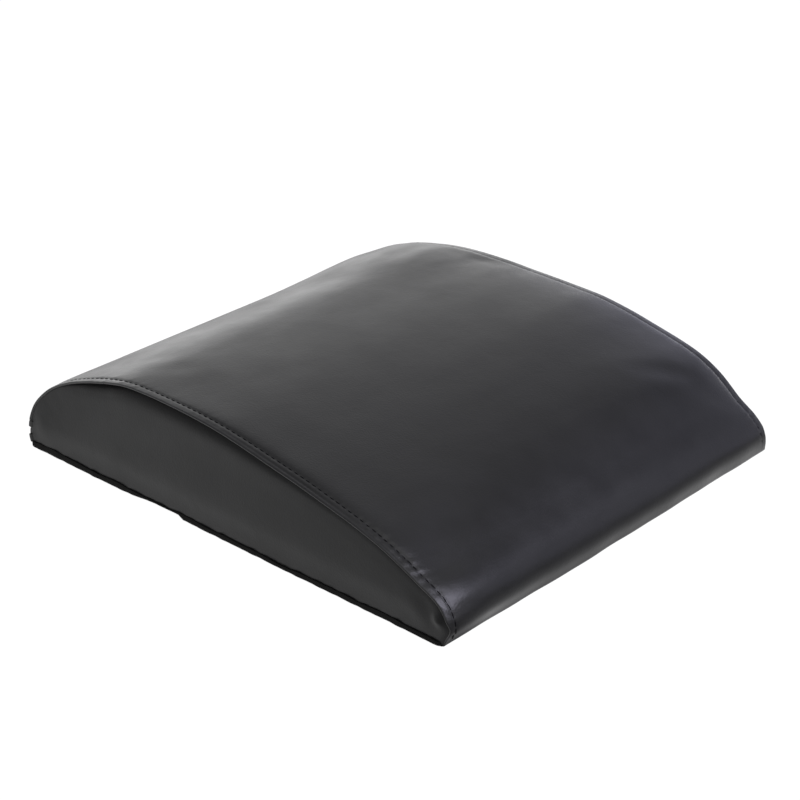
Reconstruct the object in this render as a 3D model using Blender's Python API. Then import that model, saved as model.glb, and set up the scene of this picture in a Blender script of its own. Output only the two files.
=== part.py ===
"""Ab mat: a foam wedge in a sewn and zipped cover of synthetic leather.

The pad lies on the floor. Its thin front edge is at -Y, its tall rear wall at +Y and its
width runs along X. The origin is on the floor in the middle of the pad. Lengths are in metres.
"""

import math

import bmesh
import bpy
from mathutils import Matrix, Vector

# Overall size, measured at the two seams that edge the top panel
PAD_WIDTH = 0.310
PAD_LENGTH = 0.352
PAD_HEIGHT = 0.0735

# Side outline from the front floor edge over the crest to the rear floor edge:
# shares of the length, counted from its middle, and of the height
OUTLINE_SHARES = (
    (-0.493, 0.0),
    (-0.500, 0.170),
    (-0.484, 0.316),
    (-0.438, 0.448),
    (-0.361, 0.631),
    (-0.227, 0.798),
    (-0.058, 0.941),
    (0.111, 1.0),
    (0.264, 0.947),
    (0.379, 0.801),
    (0.441, 0.620),
    (0.480, 0.420),
    (0.498, 0.220),
    (0.500, 0.120),
    (0.494, 0.0),
)
OUTLINE_STEPS = 12  # fine steps between two outline points

# Sewn cover
COVER_THICKNESS = 0.0012
GAP = 0.0003  # clearance between pieces that touch on the real mat
SEAM_LIP = 0.0008  # how far the top panel's edge stands out over the side panel
BAND_WIDTH = 0.006  # from the seam edge to the topstitching
STITCH_DIP = 0.0009
STITCH_DIP_WIDTH = 0.0014
DIP_FADE = 0.010
EDGE_ROUND = 0.0010  # width of the turned edge beside the seam
EDGE_DROP = 0.0004
CROWN = 0.0030  # rise of the top panel between its seams
CROWN_POWER = 4
CROWN_FADE_FRONT = 0.060
CROWN_FADE_REAR = 0.060
SIDE_BULGE = 0.0022
FLANGE_WIDTH = 0.0085  # the side panel's seam allowance, turned in under the top panel
FLANGE_THICKNESS = 0.0008

# Base of non-slip fabric, with its edge turned up round the pad
BASE_THICKNESS = 0.0012
BASE_RIM = 0.0030
BASE_TUCK = 0.0003
BASE_CORNER = 0.0015

# Zip in the rear wall
ZIP_RISE = 0.0145  # along the wall from the floor to the middle of the zip
ZIP_SLOT = 0.0104
COIL_WIDTH = 0.0026
COIL_THICKNESS = 0.0018
COIL_SPLIT = 0.0014  # running gap between the two halves, for the slider's post
COIL_PITCH = 0.0035
COIL_WAIST_SHARE = 0.72
TAPE_WIDTH = 0.0130
TAPE_THICKNESS = 0.0005
TAPE_OVERRUN = 0.0045  # tape beyond the stops
TAPE_END_CLEARANCE = 0.0012  # from the tape's end to the side panel's seam allowance
STOP_LENGTH = 0.0025
STOP_WIDTH = 0.0030
STOP_THICKNESS = 0.0020

# Slider and its pull tab
SLIDER_LENGTH = 0.0120
SLIDER_WIDTH = 0.0094
SLIDER_PLATE = 0.0011
SLIDER_LIP = 0.0007
SLIDER_SHOULDER_SHARE = 0.90
# Half of the slider seen from outside: shares of its half length and of its half width
SLIDER_OUTLINE_SHARES = (
    (-1.0, 0.62),
    (-0.82, 0.80),
    (-0.10, 0.90),
    (0.45, 1.0),
    (0.80, 0.86),
    (1.0, 0.46),
)
SLIDER_UNDER_WIDTH = 0.0084
SLIDER_POST_LENGTH = 0.0030
SLIDER_POST_WIDTH = 0.0008
SLIDER_RECESS_CLEARANCE = 0.0005
RECESS_RAMP = 0.0015  # slope at the upper edge of the foam's recess behind the zip
BAIL_LENGTH = 0.0046  # between the middles of its legs
BAIL_RISE = 0.00185
BAIL_RADIUS = 0.00055
BAIL_STEPS = 8
BAIL_SIDES = 6
TAB_LENGTH = 0.0240
TAB_WIDTH = 0.0070
TAB_THICKNESS = 0.0011
TAB_NECK_SHARE = 0.72
TAB_END_STEPS = 8
TAB_BAR = 0.0012  # the bar at the tab's end that turns inside the bail
TAB_SLOT_LENGTH = 0.0032
TAB_SLOT_WIDTH = 0.0026
TAB_HOLE_RADIUS = 0.0016
TAB_HOLE_INSET = 0.0036
TAB_HOLE_SIDES = 16
CUT_OVERRUN = 0.0010

# Sewing thread
THREAD_RADIUS = 0.00042
THREAD_HOLE_RADIUS = 0.00018
STITCH_PITCH = 0.0046
THREAD_SIDES = 4
SEAM_THREAD_INSET = 0.0120  # where the topstitching starts and ends along the seam
ZIP_THREAD_INSET = 0.0030  # from the folded edge beside the zip
ZIP_THREAD_SIDE_INSET = 0.0130

# Mesh spacing
ALONG_STEPS = 27
TURN_WEIGHT = 0.040  # length that one radian of turn counts for when the points are spread
ACROSS_SHARES = (0.0, 0.24, 0.48, 0.69, 0.86, 0.96)
BASE_RUN_STEPS = 9
# Rings of a side wall: share of the way in to its middle line, and share of its bulge
SIDE_RING_SHARES = ((0.10, 0.45), (0.32, 0.86), (0.66, 1.0))
CORE_RING_SHARE = 0.45
SPINE_END_SHARE = 0.16
SPINE_HEIGHT_SHARE = 0.46
CORNER_STEPS = 3
TAPE_STEPS = 4
SHARP_ANGLE = math.radians(40.0)
MERGE_DISTANCE = 0.000003

# Colours as linear values, with roughness and metallic share
LEATHER = ("synthetic_leather", (0.012, 0.012, 0.013), 0.42, 0.0)
SIDE_LEATHER = ("side_leather", (0.014, 0.014, 0.014), 0.46, 0.0)
BASE_FABRIC = ("non_slip_fabric", (0.005, 0.005, 0.005), 0.90, 0.0)
FOAM = ("pu_foam", (0.60, 0.55, 0.42), 0.95, 0.0)
THREAD = ("sewing_thread", (0.008, 0.008, 0.009), 0.60, 0.0)
TAPE = ("zip_tape", (0.008, 0.008, 0.008), 0.85, 0.0)
COIL = ("zip_coil", (0.010, 0.010, 0.010), 0.40, 0.0)
STOP_METAL = ("stop_metal", (0.04, 0.04, 0.045), 0.35, 1.0)
SLIDER_METAL = ("slider_metal", (0.020, 0.020, 0.022), 0.32, 0.6)

# Widths that follow from the values above
HALF_WIDTH = PAD_WIDTH / 2
TAPE_REACH = HALF_WIDTH - FLANGE_WIDTH - TAPE_END_CLEARANCE
COIL_LENGTH = 2 * (TAPE_REACH - TAPE_OVERRUN - STOP_LENGTH - GAP)


def ease(share):
    """A smooth step from nought to one."""
    share = max(0.0, min(1.0, share))
    return share * share * (3.0 - 2.0 * share)


class Outline:
    """The seam line seen from the side: points and outward normals at places along it."""

    def __init__(self, places, points, normals):
        self.places = places
        self.points = points
        self.normals = normals

    def span(self, along):
        """The step that holds this place, and the share of it that is passed."""
        last = len(self.places) - 2
        index = next((i for i in range(last) if along <= self.places[i + 1]), last)
        step = self.places[index + 1] - self.places[index]
        return index, (along - self.places[index]) / step

    def point(self, along):
        index, share = self.span(along)
        return self.points[index].lerp(self.points[index + 1], share)

    def normal(self, along):
        index, share = self.span(along)
        return self.normals[index].lerp(self.normals[index + 1], share)

    def at_height(self, height, rear):
        """How far along the outline the front or rear foot reaches this height."""
        order = range(len(self.points) - 1)
        for index in reversed(order) if rear else order:
            low, high = self.points[index].y, self.points[index + 1].y
            if min(low, high) <= height <= max(low, high):
                share = (height - low) / (high - low)
                gain = self.places[index + 1] - self.places[index]
                return self.places[index] + share * gain
        raise ValueError("the outline never reaches that height")

    def spread(self, start, stop, steps):
        """Places from start to stop, closer together where the outline turns."""
        weights = [0.0]
        for index in range(len(self.places) - 1):
            turn = self.normals[index].angle(self.normals[index + 1])
            gain = self.places[index + 1] - self.places[index]
            weights.append(weights[-1] + gain + TURN_WEIGHT * turn)
        first, last = (self.weight_at(weights, along) for along in (start, stop))
        places = [start]
        for step in range(1, steps):
            wanted = first + (last - first) * step / steps
            index = max(i for i, weight in enumerate(weights) if weight <= wanted)
            share = (wanted - weights[index]) / (weights[index + 1] - weights[index])
            gain = self.places[index + 1] - self.places[index]
            places.append(self.places[index] + share * gain)
        return places + [stop]

    def weight_at(self, weights, along):
        index, share = self.span(along)
        return weights[index] + share * (weights[index + 1] - weights[index])

    def with_facets(self, places):
        """The same outline with flat facets between fewer places."""
        points = [self.point(along) for along in places]
        normals = [self.normal(along).normalized() for along in places]
        return Outline(places, points, normals)


def smooth_outline():
    """The outline as many short steps, measured along itself from the front floor edge."""
    corners = [
        Vector((length * PAD_LENGTH, height * PAD_HEIGHT)) for length, height in OUTLINE_SHARES
    ]
    points = smooth_line(corners)
    places = [0.0]
    for before, after in zip(points, points[1:]):
        places.append(places[-1] + (after - before).length)
    normals = []
    for before, after in zip(points[:1] + points[:-1], points[1:] + points[-1:]):
        way = (after - before).normalized()
        normals.append(Vector((-way.y, way.x)))
    return Outline(places, points, normals)


def smooth_line(corners):
    """A smooth curve through the corners, as many short steps."""
    chords = [(after - before).length for before, after in zip(corners, corners[1:])]
    slopes = []
    for index in range(len(corners)):
        if index == 0:
            slopes.append((corners[1] - corners[0]) / chords[0])
        elif index == len(corners) - 1:
            slopes.append((corners[-1] - corners[-2]) / chords[-1])
        else:
            before = (corners[index] - corners[index - 1]) / chords[index - 1]
            after = (corners[index + 1] - corners[index]) / chords[index]
            total = chords[index - 1] + chords[index]
            slopes.append((before * chords[index] + after * chords[index - 1]) / total)
    points = []
    for index, chord in enumerate(chords):
        for step in range(OUTLINE_STEPS):
            t = step / OUTLINE_STEPS
            start = corners[index] * (2 * t**3 - 3 * t**2 + 1)
            leave = slopes[index] * chord * (t**3 - 2 * t**2 + t)
            end = corners[index + 1] * (3 * t**2 - 2 * t**3)
            arrive = slopes[index + 1] * chord * (t**3 - t**2)
            points.append(start + leave + end + arrive)
    return points + [corners[-1]]


SMOOTH = smooth_outline()

# Places along the outline
LENGTH_ALONG = SMOOTH.places[-1]
ZIP_MIDDLE = LENGTH_ALONG - ZIP_RISE
ZIP_TOP_EDGE = ZIP_MIDDLE - ZIP_SLOT / 2
ZIP_LOW_EDGE = ZIP_MIDDLE + ZIP_SLOT / 2
FRONT_EDGE = SMOOTH.at_height(BASE_RIM + GAP, rear=False)
REAR_EDGE = SMOOTH.at_height(BASE_RIM + GAP, rear=True)
CORE_FRONT = SMOOTH.at_height(BASE_THICKNESS + GAP, rear=False)
CORE_REAR = SMOOTH.at_height(BASE_THICKNESS + GAP, rear=True)
PANEL_PLACES = SMOOTH.spread(FRONT_EDGE, ZIP_TOP_EDGE, ALONG_STEPS)
STRIP_PLACES = [ZIP_LOW_EDGE, (ZIP_LOW_EDGE + REAR_EDGE) / 2, REAR_EDGE]
WALL_PLACES = PANEL_PLACES + STRIP_PLACES
OUTLINE = SMOOTH.with_facets([0.0, CORE_FRONT] + WALL_PLACES + [CORE_REAR, LENGTH_ALONG])

# Levels below the cover's outer face
FLANGE_TOP = COVER_THICKNESS + GAP
FLANGE_UNDER = FLANGE_TOP + FLANGE_THICKNESS
TAPE_TOP = COVER_THICKNESS + GAP
TAPE_UNDER = TAPE_TOP + TAPE_THICKNESS
SLIDER_UNDER_TOP = TAPE_UNDER + GAP
SLIDER_UNDER = SLIDER_UNDER_TOP + SLIDER_PLATE

# Levels above the cover's outer face at the zip
COIL_TOP = COIL_THICKNESS - COVER_THICKNESS
SLIDER_TOP_UNDER = COIL_TOP + GAP
SLIDER_TOP = SLIDER_TOP_UNDER + SLIDER_PLATE
HINGE_RISE = SLIDER_TOP + GAP + TAB_BAR / 2
BAIL_TOP = HINGE_RISE + BAIL_RISE + BAIL_RADIUS

# The slider's bail stands out behind the wall, so the pad moves forward by half of that
REAR_REACH = OUTLINE.point(ZIP_MIDDLE).x + OUTLINE.normal(ZIP_MIDDLE).x * BAIL_TOP
CENTRE_Y = (PAD_LENGTH / 2 - REAR_REACH) / 2


def rise(x, along):
    """Height of the cover over the seam line: its crown, less the dip at the topstitching."""
    inward = HALF_WIDTH - abs(x)
    share = min(1.0, abs(x) / (HALF_WIDTH - BAND_WIDTH))
    crown = CROWN * (1.0 - share**CROWN_POWER)
    crown *= ease(along / CROWN_FADE_FRONT) * ease((ZIP_TOP_EDGE - along) / CROWN_FADE_REAR)
    dip = STITCH_DIP * math.exp(-(((inward - BAND_WIDTH) / STITCH_DIP_WIDTH) ** 2))
    dip += EDGE_DROP * max(0.0, 1.0 - inward / EDGE_ROUND)
    dip *= ease((along - FRONT_EDGE) / DIP_FADE) * ease((ZIP_TOP_EDGE - along) / DIP_FADE)
    return crown - dip


def place(x, along, depth=0.0):
    """The point at this width and this place along the outline, so far under the cover's face."""
    point = OUTLINE.point(along)
    normal = OUTLINE.normal(along)
    level = rise(x, along) - depth
    return Vector((x, point.x + normal.x * level + CENTRE_Y, point.y + normal.y * level))


def across_places():
    """Widths of the cover's mesh lines from the right seam to the left one."""
    inner = HALF_WIDTH - BAND_WIDTH - STITCH_DIP_WIDTH
    half = [inner * share for share in ACROSS_SHARES]
    half += [HALF_WIDTH - BAND_WIDTH, HALF_WIDTH - BAND_WIDTH + STITCH_DIP_WIDTH]
    half += [HALF_WIDTH - EDGE_ROUND, HALF_WIDTH]
    half.insert(half.index(inner * ACROSS_SHARES[-1]) + 1, inner)
    return [-x for x in reversed(half[1:])] + half


def new_object(name, mesh, finish, parent=None):
    """Puts a mesh in the scene under a name, with its own material."""
    bmesh.ops.recalc_face_normals(mesh, faces=mesh.faces)
    data = bpy.data.meshes.new(name)
    mesh.to_mesh(data)
    mesh.free()
    data.shade_smooth()
    data.set_sharp_from_angle(angle=SHARP_ANGLE)
    thing = bpy.data.objects.new(name, data)
    bpy.context.scene.collection.objects.link(thing)
    thing.parent = parent
    if finish:
        title, colour, roughness, metallic = finish
        material = bpy.data.materials.new(f"{name}_{title}")
        material.use_nodes = True
        shader = material.node_tree.nodes["Principled BSDF"]
        shader.inputs["Base Color"].default_value = (*colour, 1.0)
        shader.inputs["Roughness"].default_value = roughness
        shader.inputs["Metallic"].default_value = metallic
        data.materials.append(material)
    return thing


def loft(rings):
    """A closed skin over rings of equal count, with a flat face on the first and the last."""
    mesh = bmesh.new()
    loops = [[mesh.verts.new(point) for point in ring] for ring in rings]
    count = len(loops[0])
    for before, after in zip(loops, loops[1:]):
        for index in range(count):
            other = (index + 1) % count
            mesh.faces.new((before[index], before[other], after[other], after[index]))
    mesh.faces.new(loops[0])
    mesh.faces.new(list(reversed(loops[-1])))
    return mesh


def sheet(outer, inner):
    """A thin solid between two equal grids of points."""
    mesh = bmesh.new()
    rows = len(outer)
    columns = len(outer[0])
    grids = [
        [[mesh.verts.new(point) for point in row] for row in grid] for grid in (outer, inner)
    ]
    for grid in grids:
        for row in range(rows - 1):
            for column in range(columns - 1):
                near, far = grid[row], grid[row + 1]
                mesh.faces.new((near[column], near[column + 1], far[column + 1], far[column]))
    border = [(0, column) for column in range(columns - 1)]
    border += [(row, columns - 1) for row in range(rows - 1)]
    border += [(rows - 1, column) for column in range(columns - 1, 0, -1)]
    border += [(row, 0) for row in range(rows - 1, 0, -1)]
    top, under = grids
    for (row, column), (next_row, next_column) in zip(border, border[1:] + border[:1]):
        mesh.faces.new(
            (
                top[row][column],
                top[next_row][next_column],
                under[next_row][next_column],
                under[row][column],
            )
        )
    return mesh


def cover_sheet(widths, places, top=0.0, thickness=COVER_THICKNESS):
    """A sheet that follows the cover's surface, from one level below its face to another."""
    outer = [[place(x, along, top) for x in widths] for along in places]
    inner = [[place(x, along, top + thickness) for x in widths] for along in places]
    return sheet(outer, inner)


def make_top_panel():
    return new_object("top_panel", cover_sheet(across_places(), PANEL_PLACES), LEATHER)


def make_rear_lower_strip():
    widths = [-HALF_WIDTH, 0.0, HALF_WIDTH]
    return new_object("rear_lower_strip", cover_sheet(widths, STRIP_PLACES), LEATHER)


def base_run(start, stop, step_in):
    """Points along the foot of a wall from start back to stop, with a short first and last step."""
    way = (stop - start).normalized()
    inner_start = start + way * step_in
    inner_stop = stop - way * step_in
    return [
        inner_start.lerp(inner_stop, step / BASE_RUN_STEPS) for step in range(BASE_RUN_STEPS + 1)
    ]


def spine_point(point, height_at):
    """The place inside a wall that the ring point shrinks towards."""
    margin = PAD_LENGTH * SPINE_END_SHARE
    low = CENTRE_Y - PAD_LENGTH / 2 + margin
    high = CENTRE_Y + PAD_LENGTH / 2 - margin
    y = max(low, min(high, point.y))
    return Vector((point.x, y, SPINE_HEIGHT_SHARE * height_at(y)))


def height_at(y):
    """The outline's height over this place on the floor."""
    wanted = y - CENTRE_Y
    spans = zip(OUTLINE.points, OUTLINE.points[1:])
    return max(
        before.y + (after.y - before.y) * (wanted - before.x) / (after.x - before.x)
        for before, after in spans
        if before.x <= wanted <= after.x
    )


def shrink(ring, share, x):
    """A copy of a wall ring drawn towards the wall's spine and moved out to x."""
    moved = []
    for point in ring:
        inner = point.lerp(spine_point(point, height_at), share)
        moved.append(Vector((x, inner.y, inner.z)))
    return moved


def side_ring(x, depth):
    """The side wall's edge loop: over the pad under the top panel, then back along the foot."""
    upper = [place(x, along, depth) for along in WALL_PLACES]
    foot = base_run(upper[-1], upper[0], FLANGE_THICKNESS)
    return upper, foot


def flange_widths():
    """Widths of the seam allowance's mesh lines, from the side wall inwards."""
    stitch = HALF_WIDTH - BAND_WIDTH
    edge = HALF_WIDTH - FLANGE_WIDTH
    return [stitch + STITCH_DIP_WIDTH, stitch, stitch - STITCH_DIP_WIDTH, edge]


def make_side_panel(name, side):
    """One arch-shaped side wall, with its seam allowance turned in under the top panel."""
    face = HALF_WIDTH - SEAM_LIP
    upper, foot = side_ring(side * face, FLANGE_TOP)
    outer_edge = upper + foot
    back = side * (face - COVER_THICKNESS)
    under = [place(back, along, FLANGE_UNDER) for along in WALL_PLACES]
    back_foot = [Vector((back, point.y, point.z)) for point in foot]
    rings = []
    for share, bulge_share in reversed(SIDE_RING_SHARES):
        rings.append(shrink(outer_edge, share, side * (face + SIDE_BULGE * bulge_share)))
    rings.append(outer_edge)
    for x in flange_widths():
        rings.append([place(side * x, along, FLANGE_TOP) for along in WALL_PLACES] + foot)
    for x in reversed(flange_widths()):
        flange_under = [place(side * x, along, FLANGE_UNDER) for along in WALL_PLACES]
        rings.append(flange_under + back_foot)
    rings.append(under + back_foot)
    for share, bulge_share in SIDE_RING_SHARES:
        x = side * (face + SIDE_BULGE * bulge_share - COVER_THICKNESS)
        rings.append(shrink(outer_edge, share, x))
    mesh = loft(rings)
    bmesh.ops.remove_doubles(mesh, verts=mesh.verts, dist=MERGE_DISTANCE)
    return new_object(name, mesh, SIDE_LEATHER)


def core_depth(x, along):
    """How far the foam lies under the cover's face, with room for what is sewn in between."""
    depth = COVER_THICKNESS + GAP
    if HALF_WIDTH - abs(x) <= FLANGE_WIDTH + 2 * GAP:
        depth = max(depth, FLANGE_UNDER + GAP)
    if along < FRONT_EDGE + GAP or along > REAR_EDGE - GAP:
        depth = max(depth, BASE_TUCK + BASE_THICKNESS + GAP)
    from_zip = abs(along - ZIP_MIDDLE)
    if from_zip <= TAPE_WIDTH + 2 * GAP:
        depth = max(depth, TAPE_UNDER + GAP)
    if from_zip <= ZIP_SLOT / 2 + GAP:
        depth = max(depth, SLIDER_UNDER + SLIDER_RECESS_CLEARANCE)
    return depth


def core_places():
    """Places of the foam's mesh lines along the outline."""
    places = [CORE_FRONT] + WALL_PLACES + [CORE_REAR]
    slot_half = ZIP_SLOT / 2 + GAP
    tape_half = TAPE_WIDTH + GAP
    places += [ZIP_MIDDLE - slot_half, ZIP_MIDDLE + slot_half]
    places += [ZIP_MIDDLE - tape_half, ZIP_MIDDLE - slot_half - RECESS_RAMP]
    return sorted(places)


def make_foam_core():
    edge = HALF_WIDTH - SEAM_LIP - BASE_TUCK - BASE_THICKNESS - GAP
    flange_room = HALF_WIDTH - FLANGE_WIDTH - GAP
    inner = [x for x in across_places() if 0.0 <= x < edge - GAP]
    half = sorted(inner + [flange_room, edge])
    widths = [-x for x in reversed(half[1:])] + half
    rings = []
    for x in widths:
        upper = [place(x, along, core_depth(x, along)) for along in core_places()]
        rings.append(upper + base_run(upper[-1], upper[0], FLANGE_THICKNESS))
    bulge = edge + SIDE_BULGE * SIDE_RING_SHARES[0][1]
    rings.insert(0, shrink(rings[0], CORE_RING_SHARE, -bulge))
    rings.append(shrink(rings[-1], CORE_RING_SHARE, bulge))
    return new_object("foam_core", loft(rings), FOAM)


def base_loop(depth, front, rear, height):
    """A round-cornered rectangle inside the pad's foot, so far in from the cover's face."""
    half = HALF_WIDTH - SEAM_LIP - depth
    front_y = OUTLINE.point(front).x + depth + CENTRE_Y
    rear_y = OUTLINE.point(rear).x - depth + CENTRE_Y
    radius = BASE_CORNER - depth + BASE_TUCK
    corners = (
        (half - radius, rear_y - radius, 0),
        (-half + radius, rear_y - radius, 1),
        (-half + radius, front_y + radius, 2),
        (half - radius, front_y + radius, 3),
    )
    loop = []
    for x, y, quarter in corners:
        for step in range(CORNER_STEPS + 1):
            angle = math.pi / 2 * (quarter + step / CORNER_STEPS)
            loop.append(Vector((x + radius * math.cos(angle), y + radius * math.sin(angle), height)))
    return loop


def make_base_panel():
    rim_front = OUTLINE.at_height(BASE_RIM, rear=False)
    rim_rear = OUTLINE.at_height(BASE_RIM, rear=True)
    inside = BASE_TUCK + BASE_THICKNESS
    rings = [
        base_loop(BASE_TUCK, 0.0, LENGTH_ALONG, 0.0),
        base_loop(BASE_TUCK, rim_front, rim_rear, BASE_RIM),
        base_loop(inside, rim_front, rim_rear, BASE_RIM),
        base_loop(inside, CORE_FRONT, CORE_REAR, BASE_THICKNESS),
    ]
    return new_object("base_panel", loft(rings), BASE_FABRIC)


def thread_rings(points, out, sideways):
    """Rings of one thread that lies in stitches: fat between the needle holes, thin at them."""
    rings = []
    for index, (point, normal) in enumerate(zip(points, out)):
        radius = THREAD_RADIUS if index % 2 else THREAD_HOLE_RADIUS
        middle = point + normal * (GAP + radius)
        ring = []
        for side in range(THREAD_SIDES):
            angle = 2 * math.pi * (side + 0.5) / THREAD_SIDES
            offset = normal * math.sin(angle) + sideways[index] * math.cos(angle)
            ring.append(middle + offset * radius)
        rings.append(ring)
    return rings


def make_seam_thread(name, side):
    """The topstitching that runs beside one top seam."""
    x = side * (HALF_WIDTH - BAND_WIDTH)
    start = FRONT_EDGE + SEAM_THREAD_INSET
    stop = ZIP_TOP_EDGE - SEAM_THREAD_INSET
    stitches = round((stop - start) / STITCH_PITCH)
    steps = 2 * stitches
    places = [start + (stop - start) * step / steps for step in range(steps + 1)]
    points = [place(x, along) for along in places]
    out = [Vector((0.0, *OUTLINE.normal(along))) for along in places]
    sideways = [Vector((side, 0.0, 0.0))] * len(points)
    return new_object(name, loft(thread_rings(points, out, sideways)), THREAD)


def make_zip_thread(name, along):
    """A row of topstitching along one folded edge beside the zip."""
    half = HALF_WIDTH - ZIP_THREAD_SIDE_INSET
    steps = 2 * round(2 * half / STITCH_PITCH)
    points = [place(-half + 2 * half * step / steps, along) for step in range(steps + 1)]
    normal = Vector((0.0, *OUTLINE.normal(along)))
    down = normal.cross(Vector((1.0, 0.0, 0.0)))
    rings = thread_rings(points, [normal] * len(points), [down] * len(points))
    return new_object(name, loft(rings), THREAD)


def make_zip_tape(name, inner_edge, outer_edge):
    """One woven tape of the zip, sewn in under the cover."""
    widths = [-TAPE_REACH, TAPE_REACH]
    gain = (outer_edge - inner_edge) / TAPE_STEPS
    places = [inner_edge + gain * step for step in range(TAPE_STEPS + 1)]
    return new_object(name, cover_sheet(widths, places, TAPE_TOP, TAPE_THICKNESS), TAPE)


def zip_frame():
    """An empty on the zip's middle line: X from its closed end to its open end, Z out of the wall."""
    closing = Vector((-1.0, 0.0, 0.0))
    up = (place(0.0, ZIP_TOP_EDGE) - place(0.0, ZIP_LOW_EDGE)).normalized()
    normal = closing.cross(up)
    frame = bpy.data.objects.new("zip_line", None)
    bpy.context.scene.collection.objects.link(frame)
    turn = Matrix((closing, up, normal)).transposed().to_4x4()
    frame.matrix_world = Matrix.Translation(place(0.0, ZIP_MIDDLE)) @ turn
    return frame


def box_ring(x, y_low, y_high, z_low, z_high):
    return [
        Vector((x, y_low, z_low)),
        Vector((x, y_high, z_low)),
        Vector((x, y_high, z_high)),
        Vector((x, y_low, z_high)),
    ]


def box(x_low, x_high, y_low, y_high, z_low, z_high):
    return loft([box_ring(x, y_low, y_high, z_low, z_high) for x in (x_low, x_high)])


def make_coil(name, side, frame):
    """One half of the zip's chain: a bar with a rib for every turn of the coil."""
    ribs = round(COIL_LENGTH / COIL_PITCH)
    inner = COIL_SPLIT / 2
    slim = (1.0 - COIL_WAIST_SHARE) / 2
    rings = []
    for step in range(2 * ribs + 1):
        waist = 0.0 if step % 2 else slim
        low = inner + COIL_WIDTH * waist
        high = inner + COIL_WIDTH * (1.0 - waist)
        bottom = -COVER_THICKNESS
        top = COIL_TOP - COIL_THICKNESS * waist
        x = -COIL_LENGTH / 2 + COIL_LENGTH * step / (2 * ribs)
        rings.append(box_ring(x, side * low, side * high, bottom, top))
    return new_object(name, loft(rings), COIL, frame)


def make_stop(name, end, y_low, y_high, frame):
    """A metal stop on the tape, just past one end of the coil."""
    near = COIL_LENGTH / 2 + GAP
    x_low, x_high = sorted((end * near, end * (near + STOP_LENGTH)))
    low = -COVER_THICKNESS
    stop = new_object(
        name, box(x_low, x_high, y_low, y_high, low, low + STOP_THICKNESS), STOP_METAL, frame
    )
    soften(stop, GAP)
    return stop


def soften(thing, width):
    """A small bevel along a metal piece's edges."""
    bevel = thing.modifiers.new("soft_edges", "BEVEL")
    bevel.width = width
    bevel.segments = 1


def combine(thing, other, operation):
    """Adds a hidden solid to a piece, or cuts it out of the piece."""
    other.hide_render = True
    other.display_type = "WIRE"
    boolean = thing.modifiers.new(other.name, "BOOLEAN")
    boolean.operation = operation
    boolean.solver = "EXACT"
    boolean.object = other


def slider_outline(width):
    """The slider seen from outside: wide at the shoulders, narrow at the tail."""
    half = width / 2
    nose = SLIDER_LENGTH / 2
    upper = [(share * nose, wide * half) for share, wide in SLIDER_OUTLINE_SHARES]
    return upper + [(x, -y) for x, y in reversed(upper)]


def slab(outline, low, high):
    """A plate of this outline between two levels."""
    return loft([[Vector((x, y, level)) for x, y in outline] for level in (low, high)])


def bail_mesh():
    """The arch on the slider that holds the pull tab."""
    foot = SLIDER_TOP - SLIDER_PLATE / 2
    middle = HINGE_RISE
    line = [Vector((-BAIL_LENGTH / 2, 0.0, foot))]
    for step in range(BAIL_STEPS + 1):
        angle = math.pi * (1.0 - step / BAIL_STEPS)
        x = BAIL_LENGTH / 2 * math.cos(angle)
        line.append(Vector((x, 0.0, middle + BAIL_RISE * math.sin(angle))))
    line.append(Vector((BAIL_LENGTH / 2, 0.0, foot)))
    rings = []
    for index, point in enumerate(line):
        ahead = line[min(index + 1, len(line) - 1)] - line[max(index - 1, 0)]
        ahead.normalize()
        side = Vector((0.0, 1.0, 0.0))
        out = ahead.cross(side)
        rings.append(
            [
                point
                + (
                    side * math.cos(2 * math.pi * turn / BAIL_SIDES)
                    + out * math.sin(2 * math.pi * turn / BAIL_SIDES)
                )
                * BAIL_RADIUS
                for turn in range(BAIL_SIDES)
            ]
        )
    return loft(rings)


def make_slider(frame):
    """The zip's slider: two plates round the chain, the post between its halves, and the bail."""
    upper = slab(slider_outline(SLIDER_WIDTH), SLIDER_TOP_UNDER, SLIDER_TOP)
    slider = new_object("zip_slider", upper, SLIDER_METAL, frame)
    slider.location.x = -(COIL_LENGTH - SLIDER_LENGTH) / 2
    overlap = SLIDER_PLATE / 2
    post_front = SLIDER_LENGTH / 2 - SLIDER_POST_LENGTH / 2
    post = box(
        post_front - SLIDER_POST_LENGTH,
        post_front,
        -SLIDER_POST_WIDTH / 2,
        SLIDER_POST_WIDTH / 2,
        -SLIDER_UNDER_TOP - overlap,
        SLIDER_TOP_UNDER + overlap,
    )
    under = slab(slider_outline(SLIDER_UNDER_WIDTH), -SLIDER_UNDER, -SLIDER_UNDER_TOP)
    lip_ends = SLIDER_LENGTH / 4
    lip_out = SLIDER_WIDTH / 2 * SLIDER_SHOULDER_SHARE
    lips = []
    for side in (-1, 1):
        low, high = sorted((side * (lip_out - SLIDER_LIP), side * lip_out))
        lips.append(
            box(-lip_ends, lip_ends, low, high, -COVER_THICKNESS, SLIDER_TOP_UNDER + overlap)
        )
    additions = {
        "slider_post": post,
        "slider_under_plate": under,
        "slider_left_lip": lips[0],
        "slider_right_lip": lips[1],
        "slider_bail": bail_mesh(),
    }
    for name, mesh in additions.items():
        combine(slider, new_object(name, mesh, None, slider), "UNION")
    return slider


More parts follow.
